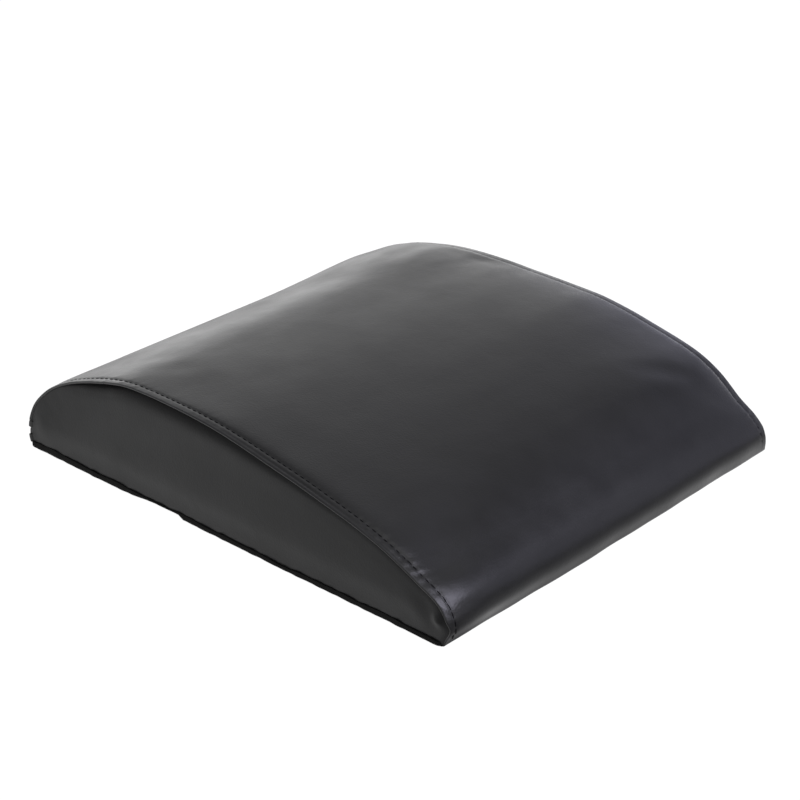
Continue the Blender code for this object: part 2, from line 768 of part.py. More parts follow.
def make_pull_tab(slider):
    """The flat tab that turns inside the slider's bail. Its origin is on its turning axis."""
    half = TAB_WIDTH / 2
    start = -TAB_BAR / 2
    round_middle = start + TAB_LENGTH - half
    outline = [(start, -half * TAB_NECK_SHARE), (start + half, -half)]
    for step in range(TAB_END_STEPS + 1):
        angle = math.pi * (step / TAB_END_STEPS - 0.5)
        outline.append((round_middle + half * math.cos(angle), half * math.sin(angle)))
    outline += [(start + half, half), (start, half * TAB_NECK_SHARE)]
    tab = new_object(
        "zip_pull_tab", slab(outline, -TAB_THICKNESS / 2, TAB_THICKNESS / 2), SLIDER_METAL, slider
    )
    tab.location.z = HINGE_RISE
    reach = TAB_THICKNESS / 2 + CUT_OVERRUN
    slot = box(
        TAB_BAR / 2,
        TAB_BAR / 2 + TAB_SLOT_LENGTH,
        -TAB_SLOT_WIDTH / 2,
        TAB_SLOT_WIDTH / 2,
        -reach,
        reach,
    )
    hole_x = start + TAB_LENGTH - TAB_HOLE_INSET
    circle = []
    for side in range(TAB_HOLE_SIDES):
        angle = 2 * math.pi * side / TAB_HOLE_SIDES
        circle.append(
            (hole_x + TAB_HOLE_RADIUS * math.cos(angle), TAB_HOLE_RADIUS * math.sin(angle))
        )
    hole = slab(circle, -reach, reach)
    combine(tab, new_object("tab_slot_cut", slot, None, tab), "DIFFERENCE")
    combine(tab, new_object("tab_hole_cut", hole, None, tab), "DIFFERENCE")
    return tab


def make_zip():
    """The zip: tapes, chain halves, stops, slider and pull tab."""
    split = COIL_SPLIT / 2
    make_zip_tape("zip_upper_tape", ZIP_MIDDLE - split, ZIP_MIDDLE - TAPE_WIDTH)
    low_stop = min(ZIP_MIDDLE + TAPE_WIDTH, REAR_EDGE - GAP)
    make_zip_tape("zip_lower_tape", ZIP_MIDDLE + split, low_stop)
    frame = zip_frame()
    make_coil("zip_upper_coil", 1, frame)
    make_coil("zip_lower_coil", -1, frame)
    make_stop("zip_end_stop", 1, -split - STOP_WIDTH, split + STOP_WIDTH, frame)
    make_stop("zip_upper_top_stop", -1, split, split + STOP_WIDTH, frame)
    make_stop("zip_lower_top_stop", -1, -split - STOP_WIDTH, -split, frame)
    make_pull_tab(make_slider(frame))
    make_zip_thread("zip_upper_topstitch", ZIP_TOP_EDGE - ZIP_THREAD_INSET)
    make_zip_thread("zip_lower_topstitch", ZIP_LOW_EDGE + ZIP_THREAD_INSET)


def main():
    for thing in list(bpy.context.scene.objects):
        bpy.data.objects.remove(thing)
    make_foam_core()
    make_top_panel()
    make_side_panel("left_side_panel", -1)
    make_side_panel("right_side_panel", 1)
    make_rear_lower_strip()
    make_base_panel()
    make_seam_thread("left_topstitch", -1)
    make_seam_thread("right_topstitch", 1)
    make_zip()


main()
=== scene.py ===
"""Visual model of an ab mat: a foam wedge in a sewn and zipped cover of synthetic leather.

The mat lies on the floor, its thin front edge towards -Y, its rear wall with the zip towards +Y
and its width along X. Lengths are in metres, in the frame of the CAD model.
"""

import functools
import logging
import math
from collections.abc import Callable, Sequence
from dataclasses import dataclass, field
from enum import Enum

import bmesh
import bpy
import numpy as np
from mathutils import Matrix, Vector
from mathutils.kdtree import KDTree


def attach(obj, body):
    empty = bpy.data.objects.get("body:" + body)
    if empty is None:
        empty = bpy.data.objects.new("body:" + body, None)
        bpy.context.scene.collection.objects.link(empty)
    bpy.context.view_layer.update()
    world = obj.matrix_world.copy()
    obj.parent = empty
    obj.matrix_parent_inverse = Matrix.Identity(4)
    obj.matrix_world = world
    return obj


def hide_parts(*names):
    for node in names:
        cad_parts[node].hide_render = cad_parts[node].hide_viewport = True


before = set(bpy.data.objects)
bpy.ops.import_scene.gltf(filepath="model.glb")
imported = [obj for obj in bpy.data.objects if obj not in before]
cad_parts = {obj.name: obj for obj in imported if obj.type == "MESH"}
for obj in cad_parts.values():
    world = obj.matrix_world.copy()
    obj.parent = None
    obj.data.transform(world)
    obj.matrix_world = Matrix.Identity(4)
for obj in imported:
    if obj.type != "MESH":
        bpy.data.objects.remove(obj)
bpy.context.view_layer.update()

LOG = logging.getLogger("ab_mat")
MM = 0.001
# Edges of the metal that turn by more than this many degrees look sharp
CRISP_ANGLE = 50.0

# Side outline from the front floor edge over the crest to the rear floor edge:
# shares of the length, counted from its middle, and of the height
OUTLINE_SHARES = (
    (-0.4965, 0.0), (-0.500, 0.170), (-0.484, 0.316), (-0.438, 0.448), (-0.361, 0.631), (-0.227, 0.798),
    (-0.058, 0.941), (0.111, 1.0), (0.264, 0.947), (0.379, 0.801), (0.441, 0.620), (0.480, 0.420),
    (0.498, 0.220), (0.500, 0.120), (0.494, 0.0),
)

# How far each top seam stands off that outline: (millimetres along it, millimetres outwards).
# A sewn cover is never quite even: the left seam rides up at the crest, the right one in front.
LEFT_SEAM_LIFT = (
    (0, 0.3), (19, 1.4), (43, 1.0), (66, -0.3), (85, -1.1), (130, -0.7), (160, -0.7), (200, 0.9),
    (240, 0.8), (282, 2.1), (310, 0.4), (332, -0.7), (360, -0.4), (415, 0.0),
)
RIGHT_SEAM_LIFT = (
    (0, 0.8), (13, -1.2), (25, -3.8), (36, -3.2), (50, -0.2), (60, 2.0), (78, 3.5), (100, 3.8),
    (132, 4.4), (159, 3.8), (178, 1.8), (198, 0.2), (219, -1.2), (245, -1.0), (290, -0.3), (330, -0.2),
    (415, 0.0),
)


class Side(Enum):
    """A side of the mat, with its sign along X."""

    LEFT = -1
    RIGHT = 1


# Small helpers


def ease(share: np.ndarray | float) -> np.ndarray:
    """A smooth step from nought to one."""
    share = np.clip(share, 0.0, 1.0)
    return share * share * (3.0 - 2.0 * share)


def bell(distance: np.ndarray, width: float) -> np.ndarray:
    """One at nought, falling away over this width."""
    return np.exp(-((distance / width) ** 2))


def ripple(along: np.ndarray, wavelength: float, seed: int, waves: int = 6) -> np.ndarray:
    """An uneven wave between about -1 and 1.

    Args:
        along: Places at which it is wanted.
        wavelength: The middle of its wavelengths, in the unit of the places.
        seed: Which of many such waves it is.
        waves: How many plain waves it is the sum of.

    Returns:
        Its height at each place.
    """
    rng = np.random.default_rng(seed)
    total = np.zeros_like(np.asarray(along, float))
    for _ in range(waves):
        length = wavelength * rng.uniform(0.55, 1.8)
        total += rng.uniform(0.5, 1.0) * np.sin(2 * math.pi * (along / length + rng.uniform()))
    return total / waves * 1.6


def smooth_table(table: Sequence[tuple[float, float]], reach: float = 7.0) -> Callable:
    """A smooth curve through a table of (millimetres along, millimetres), as a function in metres."""
    places = np.arange(-60.0, 481.0, 1.0)
    values = np.interp(places, *np.array(table, float).T)
    weights = bell(np.arange(-20.0, 21.0), reach)
    values = np.convolve(values, weights / weights.sum(), "same")
    return lambda along: np.interp(along, places * MM, values * MM)


def link_object(name: str, data: bpy.types.ID) -> bpy.types.Object:
    """Puts data in the scene as an object of this name."""
    thing = bpy.data.objects.new(name, data)
    bpy.context.scene.collection.objects.link(thing)
    return thing


def mesh_object(
    name: str, points: np.ndarray, faces: Sequence[Sequence[int]], wear: np.ndarray | None = None,
    merge: float = 1e-6,
) -> bpy.types.Object:
    """Makes a closed piece from points and faces, with its faces turned outwards.

    Args:
        name: The piece's name.
        points: Its points, one row each.
        faces: The points of each face.
        wear: Share of edge wear at the first points, kept as "wear"; the others have none.
        merge: Points nearer than this become one.

    Returns:
        The object, smooth shaded.
    """
    data = bpy.data.meshes.new(name)
    data.from_pydata(points.tolist(), [], [list(face) for face in faces])
    if wear is not None:
        shares = np.zeros(len(points), np.float32)
        shares[: wear.size] = wear.ravel()
        data.attributes.new("wear", "FLOAT", "POINT").data.foreach_set("value", shares)
    shell = bmesh.new()
    shell.from_mesh(data)
    bmesh.ops.remove_doubles(shell, verts=shell.verts, dist=merge)
    bmesh.ops.recalc_face_normals(shell, faces=shell.faces)
    shell.to_mesh(data)
    shell.free()
    data.shade_smooth()
    return link_object(name, data)


def grid_faces(rows: int, columns: int, start: int = 0, loop: bool = False) -> np.ndarray:
    """The faces of a grid of points, row by row; with loop, each row closes on itself."""
    row, column = np.meshgrid(
        np.arange(rows - 1), np.arange(columns if loop else columns - 1), indexing="ij"
    )
    near = start + row * columns + column
    beside = start + row * columns + (column + 1) % columns
    return np.stack([near, beside, beside + columns, near + columns], -1).reshape(-1, 4)


def closed_sheet(outer: np.ndarray, inner: np.ndarray) -> tuple[np.ndarray, np.ndarray]:
    """Points and faces of the thin solid between two equal grids of points."""
    rows, columns = outer.shape[:2]
    count = rows * columns
    index = np.arange(count).reshape(rows, columns)
    border = np.concatenate([index[0], index[1:, -1], index[-1, -2::-1], index[-2:0:-1, 0]])
    after = np.roll(border, -1)
    walls = np.stack([border, after, after + count, border + count], -1)
    faces = np.concatenate([grid_faces(rows, columns), grid_faces(rows, columns, count), walls])
    points = np.concatenate([outer.reshape(-1, 3), inner.reshape(-1, 3)])
    return points, faces


def close_under(upper: np.ndarray, count: int) -> np.ndarray:
    """Rings from rows of points over the pad, each closed along the floor by so many steps."""
    foot = np.linspace(upper[:, -1], upper[:, 0], count, axis=1)[:, 1:-1]
    return np.concatenate([upper, foot], axis=1)


def capped_rings(name: str, rings: np.ndarray) -> bpy.types.Object:
    """A closed piece from rings of points side by side, with one face over each end."""
    count = rings.shape[1]
    faces = grid_faces(len(rings), count, loop=True).tolist()
    faces.append(list(range(count)))
    faces.append([(len(rings) - 1) * count + i for i in range(count)])
    return mesh_object(name, rings.reshape(-1, 3), faces)


def point_tree(points: np.ndarray) -> KDTree:
    """A search tree over these points."""
    tree = KDTree(len(points))
    for index, point in enumerate(points):
        tree.insert(point, index)
    tree.balance()
    return tree


# Shape of the pad


@dataclass(frozen=True)
class SideOutline:
    """The seam line seen from the side: places along it, points (y, z) and outward normals."""

    places: np.ndarray
    points: np.ndarray
    normals: np.ndarray

    def point(self, along: np.ndarray) -> np.ndarray:
        """The points at these places."""
        return np.stack([np.interp(along, self.places, c) for c in self.points.T], -1)

    def normal(self, along: np.ndarray) -> np.ndarray:
        """The outward normals at these places."""
        return np.stack([np.interp(along, self.places, c) for c in self.normals.T], -1)

    def at_height(self, height: float, rear: bool) -> float:
        """How far along the outline its front or rear foot reaches this height."""
        half = len(self.places) // 2
        part = slice(half, None) if rear else slice(0, half)
        heights = self.points[part, 1]
        places = self.places[part]
        if rear:
            heights, places = heights[::-1], places[::-1]
        return float(np.interp(height, heights, places))


def hermite_line(corners: np.ndarray, steps: int) -> np.ndarray:
    """A smooth curve through the corners, as many short steps."""
    chords = np.linalg.norm(np.diff(corners, axis=0), axis=1)
    ways = np.diff(corners, axis=0) / chords[:, None]
    slopes = np.empty_like(corners)
    slopes[0], slopes[-1] = ways[0], ways[-1]
    before, after = chords[:-1, None], chords[1:, None]
    slopes[1:-1] = (ways[:-1] * after + ways[1:] * before) / (before + after)
    t = (np.arange(steps) / steps)[None, :, None]
    start, end = corners[:-1, None], corners[1:, None]
    leave, arrive = (s[:, None] * chords[:, None, None] for s in (slopes[:-1], slopes[1:]))
    line = start * (2 * t**3 - 3 * t**2 + 1) + leave * (t**3 - 2 * t**2 + t)
    line = line + end * (3 * t**2 - 2 * t**3) + arrive * (t**3 - t**2)
    return np.concatenate([line.reshape(-1, 2), corners[-1:]])


@dataclass(frozen=True)
class Fold:
    """A soft ridge, or with a negative height a valley, along a line on a panel.

    Attributes:
        line: Points of its middle line in millimetres, as the panel measures them.
        width: How wide it is, in millimetres.
        height: How far its middle stands out, in millimetres.
    """

    line: tuple[tuple[float, float], ...]
    width: float
    height: float

    def level(self, u: np.ndarray, v: np.ndarray) -> np.ndarray:
        """How far it lifts the panel at these places, all in metres."""
        path = hermite_line(np.array(self.line, float), 8) * MM
        share = np.linspace(0.0, 1.0, len(path))
        fade = np.sin(math.pi * np.clip(share, 0.03, 0.97)) ** 0.7
        best = np.zeros(np.broadcast(u, v).shape)
        for (pu, pv), strength in zip(path, fade):
            near = np.exp(-(((u - pu) ** 2 + (v - pv) ** 2) / (self.width * MM) ** 2))
            best = np.maximum(best, near * strength)
        return best * self.height * MM


# Slack in the cover: places are (x, along the outline) on top
TOP_FOLDS = (
    Fold(((92, 279), (108, 283), (127, 289), (143, 289)), 7.0, 0.35),
    Fold(((114, 226), (118, 244), (114, 262)), 55.0, 0.6),
    Fold(((104, 260), (118, 257), (131, 254), (145, 247)), 7.5, -0.30),
    Fold(((151, 274), (146, 264), (145, 254), (149, 240)), 5.0, 0.4),
    Fold(((118, 236), (132, 230), (146, 218)), 8.0, 0.15),
    Fold(((96, 306), (118, 312), (142, 310)), 8.0, 0.3),
    Fold(((-150, 372), (-132, 378), (-108, 381)), 6.0, -0.6),
    Fold(((150, 370), (128, 379), (100, 382)), 6.0, -0.7),
    Fold(((-146, 40), (-138, 36), (-124, 32)), 6.0, 0.35),
    Fold(((-150, 22), (-140, 20), (-122, 19)), 4.0, -0.5),
)
# and (y, z) on the side walls
SIDE_FOLDS = (
    Fold(((-171.2, 14.0), (-170.6, 16.0), (-169.9, 18.0)), 2.6, 1.6),
    Fold(((-168.0, 10.0), (-165.6, 16.0), (-162.0, 22.0), (-155.0, 27.0)), 4.2, -0.6),
    Fold(((-160.0, 11.0), (-155.0, 17.0), (-148.0, 22.5)), 6.0, 0.4),
    Fold(((158.0, 12.0), (160.0, 24.0), (156.0, 36.0)), 9.0, 0.8),
)


@dataclass(frozen=True)
class HeightGrid:
    """Heights on an even grid, read back smoothly between its points."""

    start: tuple[float, float]
    step: float
    values: np.ndarray

    def sample(self, u: np.ndarray, v: np.ndarray) -> np.ndarray:
        """The height at these places, as a cubic B-spline over the grid."""
        u, v = np.broadcast_arrays(u, v)
        total = np.zeros(u.shape)
        cells, weights = [], []
        for value, start, count in zip((u, v), self.start, self.values.shape):
            spot = np.clip((value - start) / self.step, 0.0, count - 1.001)
            cell = np.floor(spot).astype(int)
            t = spot - cell
            cells.append(cell)
            weights.append(
                (
                    (1 - t) ** 3 / 6,
                    (3 * t**3 - 6 * t**2 + 4) / 6,
                    (-3 * t**3 + 3 * t**2 + 3 * t + 1) / 6,
                    t**3 / 6,
                )
            )
        for i in range(4):
            row = np.clip(cells[0] + i - 1, 0, self.values.shape[0] - 1)
            for j in range(4):
                column = np.clip(cells[1] + j - 1, 0, self.values.shape[1] - 1)
                total += weights[0][i] * weights[1][j] * self.values[row, column]
        return total


@dataclass
class PadForm:
    """The pad's outer form, which every sewn piece follows."""

    width: float = 0.310
    length: float = 0.352
    height: float = 0.0735
    band: dict[Side, float] = field(default_factory=lambda: {Side.LEFT: 0.0052, Side.RIGHT: 0.0066})
    band_rise: dict[Side, float] = field(
        default_factory=lambda: {Side.LEFT: 0.0011, Side.RIGHT: 0.0013}
    )
    crown: float = 0.0004
    crown_power: float = 4.0
    crown_fade: float = 0.060
    band_puff: float = 0.00010
    stitch_dip: dict[Side, float] = field(
        default_factory=lambda: {Side.LEFT: 0.00052, Side.RIGHT: 0.00020}
    )
    stitch_dip_width: float = 0.0013
    stitch_pitch: float = 0.0046
    dip_fade: float = 0.010
    pucker: float = 0.00022
    # Height and reach of each swell of the padding inside the stitches
    shoulders: dict[Side, tuple] = field(
        default_factory=lambda: {
            Side.LEFT: ((0.0015, 0.0040),),
            Side.RIGHT: ((0.0046, 0.0280), (0.0005, 0.0040)),
        }
    )
    corner_puff: float = 0.0060
    crest_place: float = 0.262
    edge_fade: float = 0.02
    seam_lip: float = 0.0008
    base_rim: float = 0.0030
    gap: float = 0.0003
    zip_rise: float = 0.0145
    zip_slot: float = 0.0104
    centre_y: float = -0.0022179
    outline: SideOutline = field(init=False)
    lifts: dict[Side, Callable] = field(init=False)
    top_swell: HeightGrid | None = None
    side_swell: dict[Side, HeightGrid] = field(default_factory=dict)

    def __post_init__(self) -> None:
        """Works out the outline and the places along it."""
        points = hermite_line(np.array(OUTLINE_SHARES) * (self.length, self.height), 24)
        steps = np.linalg.norm(np.diff(points, axis=0), axis=1)
        places = np.concatenate([[0.0], np.cumsum(steps)])
        self.total = float(places[-1])
        self.zip_middle = self.total - self.zip_rise
        self.zip_top_edge = self.zip_middle - self.zip_slot / 2
        self.zip_low_edge = self.zip_middle + self.zip_slot / 2
        # The wall is flat where the zip is
        ends = np.array(
            [
                [np.interp(edge, places, points[:, k]) for k in (0, 1)]
                for edge in (self.zip_top_edge, self.zip_low_edge)
            ]
        )
        flat = (places > self.zip_top_edge) & (places < self.zip_low_edge)
        share = ((places - self.zip_top_edge) / self.zip_slot)[:, None]
        points = np.where(flat[:, None], ends[0] + share * (ends[1] - ends[0]), points)
        ways = np.gradient(points, axis=0)
        ways /= np.linalg.norm(ways, axis=1)[:, None]
        normals = np.stack([-ways[:, 1], ways[:, 0]], -1)
        self.outline = SideOutline(places, points, normals)
        self.front_edge = self.outline.at_height(0.0005, rear=False)
        self.rear_edge = self.outline.at_height(self.base_rim + self.gap, rear=True)
        self.lifts = {
            Side.LEFT: smooth_table(LEFT_SEAM_LIFT), Side.RIGHT: smooth_table(RIGHT_SEAM_LIFT)
        }

    @property
    def half(self) -> float:
        """Half of the width between the seams."""
        return self.width / 2

    def lift(self, x: np.ndarray, along: np.ndarray) -> np.ndarray:
        """How far the cover stands off the even outline, from one seam to the other."""
        share = ease((x + self.half) / self.width)
        left, right = self.lifts[Side.LEFT](along), self.lifts[Side.RIGHT](along)
        return left * (1.0 - share) + right * share

    def inside(self, along: np.ndarray, fade: float) -> np.ndarray:
        """Nought at the front edge and at the zip, one between them."""
        return ease((along - self.front_edge) / fade) * ease((self.zip_top_edge - along) / fade)

    def level(self, x: np.ndarray, along: np.ndarray) -> np.ndarray:
        """Height of the cover's face over the even outline.

        Args:
            x: Places across the pad.
            along: Places along the outline.

        Returns:
            The height, from the crown, padding, swell, stitching, seam lifts and folds.
        """
        inward = self.half - np.abs(x)
        at_left = x < 0
        band = np.where(at_left, self.band[Side.LEFT], self.band[Side.RIGHT])
        share = np.clip(np.abs(x) / (self.half - band), 0.0, 1.0)
        crown = self.crown * (1.0 - share**self.crown_power)
        crown *= ease(along / self.crown_fade)
        crown *= ease((self.zip_top_edge - along) / self.crown_fade)
        # The padding stands up softly on the inner side of the stitches
        past = np.maximum(inward - band, 0.0)
        on_band = np.clip(inward / band, 0.0, 1.0)
        near = ease(0.5 + x / (0.9 * self.width))
        sag = 1.0 - 0.50 * bell(along - 0.250, 0.024)
        ridden = self.ridden(along)
        # Over the rear crest the cover is drawn tight, but for its slack far corner
        tight = 1.0 - 0.9 * ease((0.138 - x) / 0.112) * bell(along - 0.334, 0.037)
        strength = {
            Side.LEFT: ease((along - 0.034) / 0.032) * (1.0 - 0.75 * ridden),
            Side.RIGHT: 0.6 + 0.4 * ease((along - 0.015) / 0.030) + 0.4 * bell(along - 0.060, 0.025),
        }
        padding = 0.0
        for side, share in ((Side.LEFT, 1.0 - near), (Side.RIGHT, near * sag * tight)):
            level = self.band_rise[side] * on_band
            if side is Side.LEFT:
                level = self.left_rise(along) * (on_band + (1.0 - on_band) * ridden)
                level = level + 0.0008 * bell(along - 0.125, 0.055) * on_band
            for height, reach in self.shoulders[side]:
                level = level + height * strength[side] * tight * (1.0 - np.exp(-past / reach))
            padding = padding + share * level
        corner = bell(along - 0.0262, 0.0150) * self.corner_puff * at_left
        padding = padding + corner * (1.0 - np.exp(-past / 0.025)) * np.exp(-past / 0.036)
        crown = crown + padding * self.inside(along, self.edge_fade)
        off_seam = ease(past / np.where(at_left, 0.045, 0.018))
        if self.top_swell is not None:
            swell = self.top_swell.sample(x, along) * off_seam * tight
            crown = crown + swell * self.inside(along, self.edge_fade)
        # The stitches draw the leather down, a little more at each needle hole
        beat = 0.80 + 0.20 * np.cos(2 * math.pi * along / self.stitch_pitch)
        deepest = np.where(at_left, self.stitch_dip[Side.LEFT], self.stitch_dip[Side.RIGHT])
        deepest = deepest * (1.0 - 0.4 * ridden) * (0.45 + 0.55 * ease((along - 0.04) / 0.04))
        dip = deepest * beat * bell(inward - band, self.stitch_dip_width)
        # The seam's own stitches pull a second, finer line close to the turned edge
        pull = 0.00060 * bell(along - 0.125, 0.060) * at_left
        pull = pull * (0.7 + 0.3 * np.cos(2 * math.pi * along / 0.0031))
        dip = dip + pull * bell(inward - 0.0020, 0.0007)
        puff = self.band_puff * np.sin(math.pi * on_band)
        # The seam's allowance is gathered most where the front foot curves
        gather = 0.45 + 1.1 * bell(along - 0.045, 0.045) + 0.4 * bell(along - 0.33, 0.05)
        seed = np.where(at_left, 0.0, 0.37)
        crease = ripple(along + seed + 0.35 * inward, 0.0095, 11)
        crease = crease * (ease(inward / 0.002) * bell(inward - 0.004, 0.0055)) * gather
        folds = sum(fold.level(x, along) for fold in TOP_FOLDS)
        wavy = 0.0005 * ripple(x, 0.055, 21) * bell(along, 0.012)
        seamwork = wavy + (puff + self.pucker * crease - dip) * self.inside(along, self.dip_fade)
        return crown + seamwork + self.lift(x, along) + folds * self.inside(along, self.edge_fade)

    def face(self, x: np.ndarray, along: np.ndarray, depth: np.ndarray | float = 0.0) -> np.ndarray:
        """Points so far under the cover's face."""
        x, along, depth = np.broadcast_arrays(x, along, depth)
        level = (self.level(x, along) - depth)[..., None]
        spot = self.outline.point(along) + self.outline.normal(along) * level
        y = spot[..., 0] + self.centre_y
        return np.stack([x, y + self.foot_shift(x, y, spot[..., 1]), spot[..., 1]], -1)

    def foot_shift(self, x: np.ndarray, y: np.ndarray, z: np.ndarray) -> np.ndarray:
        """How far the front foot is set back: the mat was cut a little out of square."""
        reach = 0.014 + 0.018 * ease(0.5 + x / self.width)
        back = 0.0022 * bell(x + 0.150, 0.075) - 0.0009 - 0.010 * x
        return back * ease((reach - z) / reach) * ease((-0.10 - y) / 0.05)

    def left_rise(self, along: np.ndarray) -> np.ndarray:
        """How high the left seam's band lies: it sinks behind the rear crest."""
        return self.band_rise[Side.LEFT] * (1.0 - 0.8 * ease((along - 0.295) / 0.035))

    def ridden(self, along: np.ndarray) -> np.ndarray:
        """One where the left seam's band lies flat, over the crest, nought away from it."""
        return bell(along - self.crest_place, 0.052)

    def at_foot(self, along: np.ndarray) -> np.ndarray:
        """One near the front floor edge, where the seam's band ends, nought above it."""
        return ease((0.0185 - along) / 0.0070)

    def seam(self, side: Side, along: np.ndarray, depth: np.ndarray | float) -> np.ndarray:
        """Points (y, z) under a top seam, without the stitching's dips."""
        level = self.lifts[side](along) - depth
        if side is Side.LEFT:
            level = level + self.left_rise(along) * self.ridden(along)
        level = level[..., None]
        spot = self.outline.point(along) + self.outline.normal(along) * level + (self.centre_y, 0.0)
        spot[..., 0] += self.foot_shift(side.value * self.half, spot[..., 0], spot[..., 1])
        return spot


@dataclass
class CoverInflation:
    """Blows the sewn cover up by cloth simulation, held at its seams as the real one is.

    Attributes:
        form: The form that it starts from and that takes its result.
        voxel: Mesh size of the cloth.
        pressure: Push of the foam on the cover.
        frames: Steps of the simulation.
        grip: How near a seam the cloth is held.
        cap: The most that a point may move.
        gain: Share of the movement that is kept: foam pushes less than air does.
        spacing: Step of the grids that the movement is kept on.
        skin_depth: How far under the cover's face the cloth lies.
        foot_grip: Height under which the cloth is held to the base.
    """

    form: PadForm
    voxel: float = 0.005
    pressure: float = 4.0
    frames: int = 20
    grip: float = 0.0045
    cap: float = 0.004
    gain: float = 0.75
    spacing: float = 0.005
    skin_depth: float = 0.001
    foot_grip: float = 0.004

    def run(self) -> None:
        """Simulates the cloth and hands the swell of each panel to the form."""
        cloth = self.closed_cover()
        rest = self.points_of(cloth.data)
        self.hold(cloth)
        self.simulate(cloth)
        shown = cloth.evaluated_get(bpy.context.evaluated_depsgraph_get())
        moved = self.points_of(shown.data) - rest
        length = np.linalg.norm(moved, axis=1, keepdims=True)
        moved *= np.minimum(1.0, self.cap / np.maximum(length, 1e-9)) * self.gain
        bpy.data.objects.remove(cloth)
        bpy.context.scene.frame_set(1)
        self.hand_over(rest, moved)
        LOG.info("cover inflated: %d points, up to %.1f mm", len(rest), length.max() / MM)

    def closed_cover(self) -> bpy.types.Object:
        """The cover as one closed and evenly meshed skin."""
        form = self.form
        along = np.linspace(0.0, form.total, 84)
        widths = np.linspace(-form.half + form.seam_lip, form.half - form.seam_lip, 62)
        upper = form.face(widths[:, None], along[None, :], self.skin_depth)
        cloth = capped_rings("cover_cloth", close_under(upper, 40))
        remesh = cloth.modifiers.new("even", "REMESH")
        remesh.mode = "VOXEL"
        remesh.voxel_size = self.voxel
        evaluated = cloth.evaluated_get(bpy.context.evaluated_depsgraph_get())
        cloth.data = bpy.data.meshes.new_from_object(evaluated)
        cloth.modifiers.clear()
        return cloth

    def hold(self, cloth: bpy.types.Object) -> None:
        """Grips the cloth along the seams and the foot, and gives it slack at the far crest."""
        form = self.form
        grip, slack = (cloth.vertex_groups.new(name=name) for name in ("grip", "slack"))
        along = np.linspace(0.0, form.total, 400)
        held = []
        for side in Side:
            line = form.seam(side, along, 0.0)
            held.append(np.column_stack([np.full(len(along), side.value * form.half), line]))
        held.append(form.face(np.linspace(-form.half, form.half, 120), form.zip_middle))
        tree = point_tree(np.concatenate(held))
        for vertex in cloth.data.vertices:
            spot = vertex.co
            if tree.find(spot)[2] < self.grip or spot.z < self.foot_grip:
                grip.add([vertex.index], 1.0, "REPLACE")
            far_crest = bell(np.hypot(spot.x - 0.120, (spot.y - 0.070) * 0.8), 0.045)
            slack.add([vertex.index], float(far_crest), "REPLACE")

    def simulate(self, cloth: bpy.types.Object) -> None:
        """Runs the cloth under pressure, without gravity."""
        modifier = cloth.modifiers.new("cover", "CLOTH")
        values = {
            "quality": 6, "mass": 0.3, "tension_stiffness": 20.0, "compression_stiffness": 20.0,
            "bending_stiffness": 2.0, "use_pressure": True, "uniform_pressure_force": self.pressure,
            "vertex_group_mass": "grip", "vertex_group_shrink": "slack", "shrink_min": 0.0,
            "shrink_max": -0.03,
        }
        for name, value in values.items():
            setattr(modifier.settings, name, value)
        modifier.settings.effector_weights.gravity = 0.0
        modifier.collision_settings.use_collision = False
        modifier.point_cache.frame_start = 1
        modifier.point_cache.frame_end = self.frames
        for step in range(1, self.frames + 1):
            bpy.context.scene.frame_set(step)

    def points_of(self, data: bpy.types.Mesh) -> np.ndarray:
        """A mesh's points."""
        points = np.empty(len(data.vertices) * 3)
        data.vertices.foreach_get("co", points)
        return points.reshape(-1, 3)

    def swell(
        self, tree: KDTree, moved: np.ndarray, points: np.ndarray, outward: np.ndarray
    ) -> np.ndarray:
        """How far the cloth near some places moved outwards.

        Args:
            tree: Search tree over the cloth's points at rest.
            moved: The movement of each of those points.
            points: The places.
            outward: The way out at each place.

        Returns:
            The swell at each place.
        """
        heights = np.empty(len(points))
        for index, (point, way) in enumerate(zip(points, outward)):
            found = tree.find_n(point, 10)
            weights = np.array([math.exp(-((d / (1.2 * self.spacing)) ** 2)) for _, _, d in found])
            picked = moved[[i for _, i, _ in found]] @ way
            heights[index] = (weights * picked).sum() / max(weights.sum(), 1e-9)
        return heights

    def hand_over(self, rest: np.ndarray, moved: np.ndarray) -> None:
        """Turns the points' movement into smooth heights over the top and both side walls.

        Args:
            rest: The cloth's points at rest.
            moved: The movement of each.
        """
        form, spacing = self.form, self.spacing
        tree = point_tree(rest)
        x = np.arange(-form.half, form.half + spacing / 2, spacing)
        along = np.arange(0.0, form.total + spacing / 2, spacing)
        u, v = np.meshgrid(x, along, indexing="ij")
        outward = np.concatenate([np.zeros_like(u)[..., None], form.outline.normal(v)], -1)
        points = form.face(u, v, self.skin_depth).reshape(-1, 3)
        heights = self.swell(tree, moved, points, outward.reshape(-1, 3)).reshape(u.shape)
        y = np.arange(-0.185, 0.1801, spacing)
        z = np.arange(0.0, 0.0801, spacing)
        u, v = np.meshgrid(y, z, indexing="ij")
        swells = {}
        for side in Side:
            x = side.value * (form.half - form.seam_lip)
            points = np.stack([np.full_like(u, x), u, v], -1).reshape(-1, 3)
            outward = np.tile((float(side.value), 0.0, 0.0), (len(points), 1))
            values = self.swell(tree, moved, points, outward).reshape(u.shape)
            swells[side] = HeightGrid((float(y[0]), 0.0), spacing, values)
        form.top_swell = HeightGrid((float(-form.half), 0.0), spacing, heights)
        form.side_swell = swells


# Finishes


def linear(hex_colour: str) -> tuple[float, float, float, float]:
    """An sRGB colour as the linear values that the shaders take."""
    parts = [int(hex_colour[i : i + 2], 16) / 255 for i in (1, 3, 5)]
    return (*(p / 12.92 if p <= 0.04045 else ((p + 0.055) / 1.055) ** 2.4 for p in parts), 1.0)


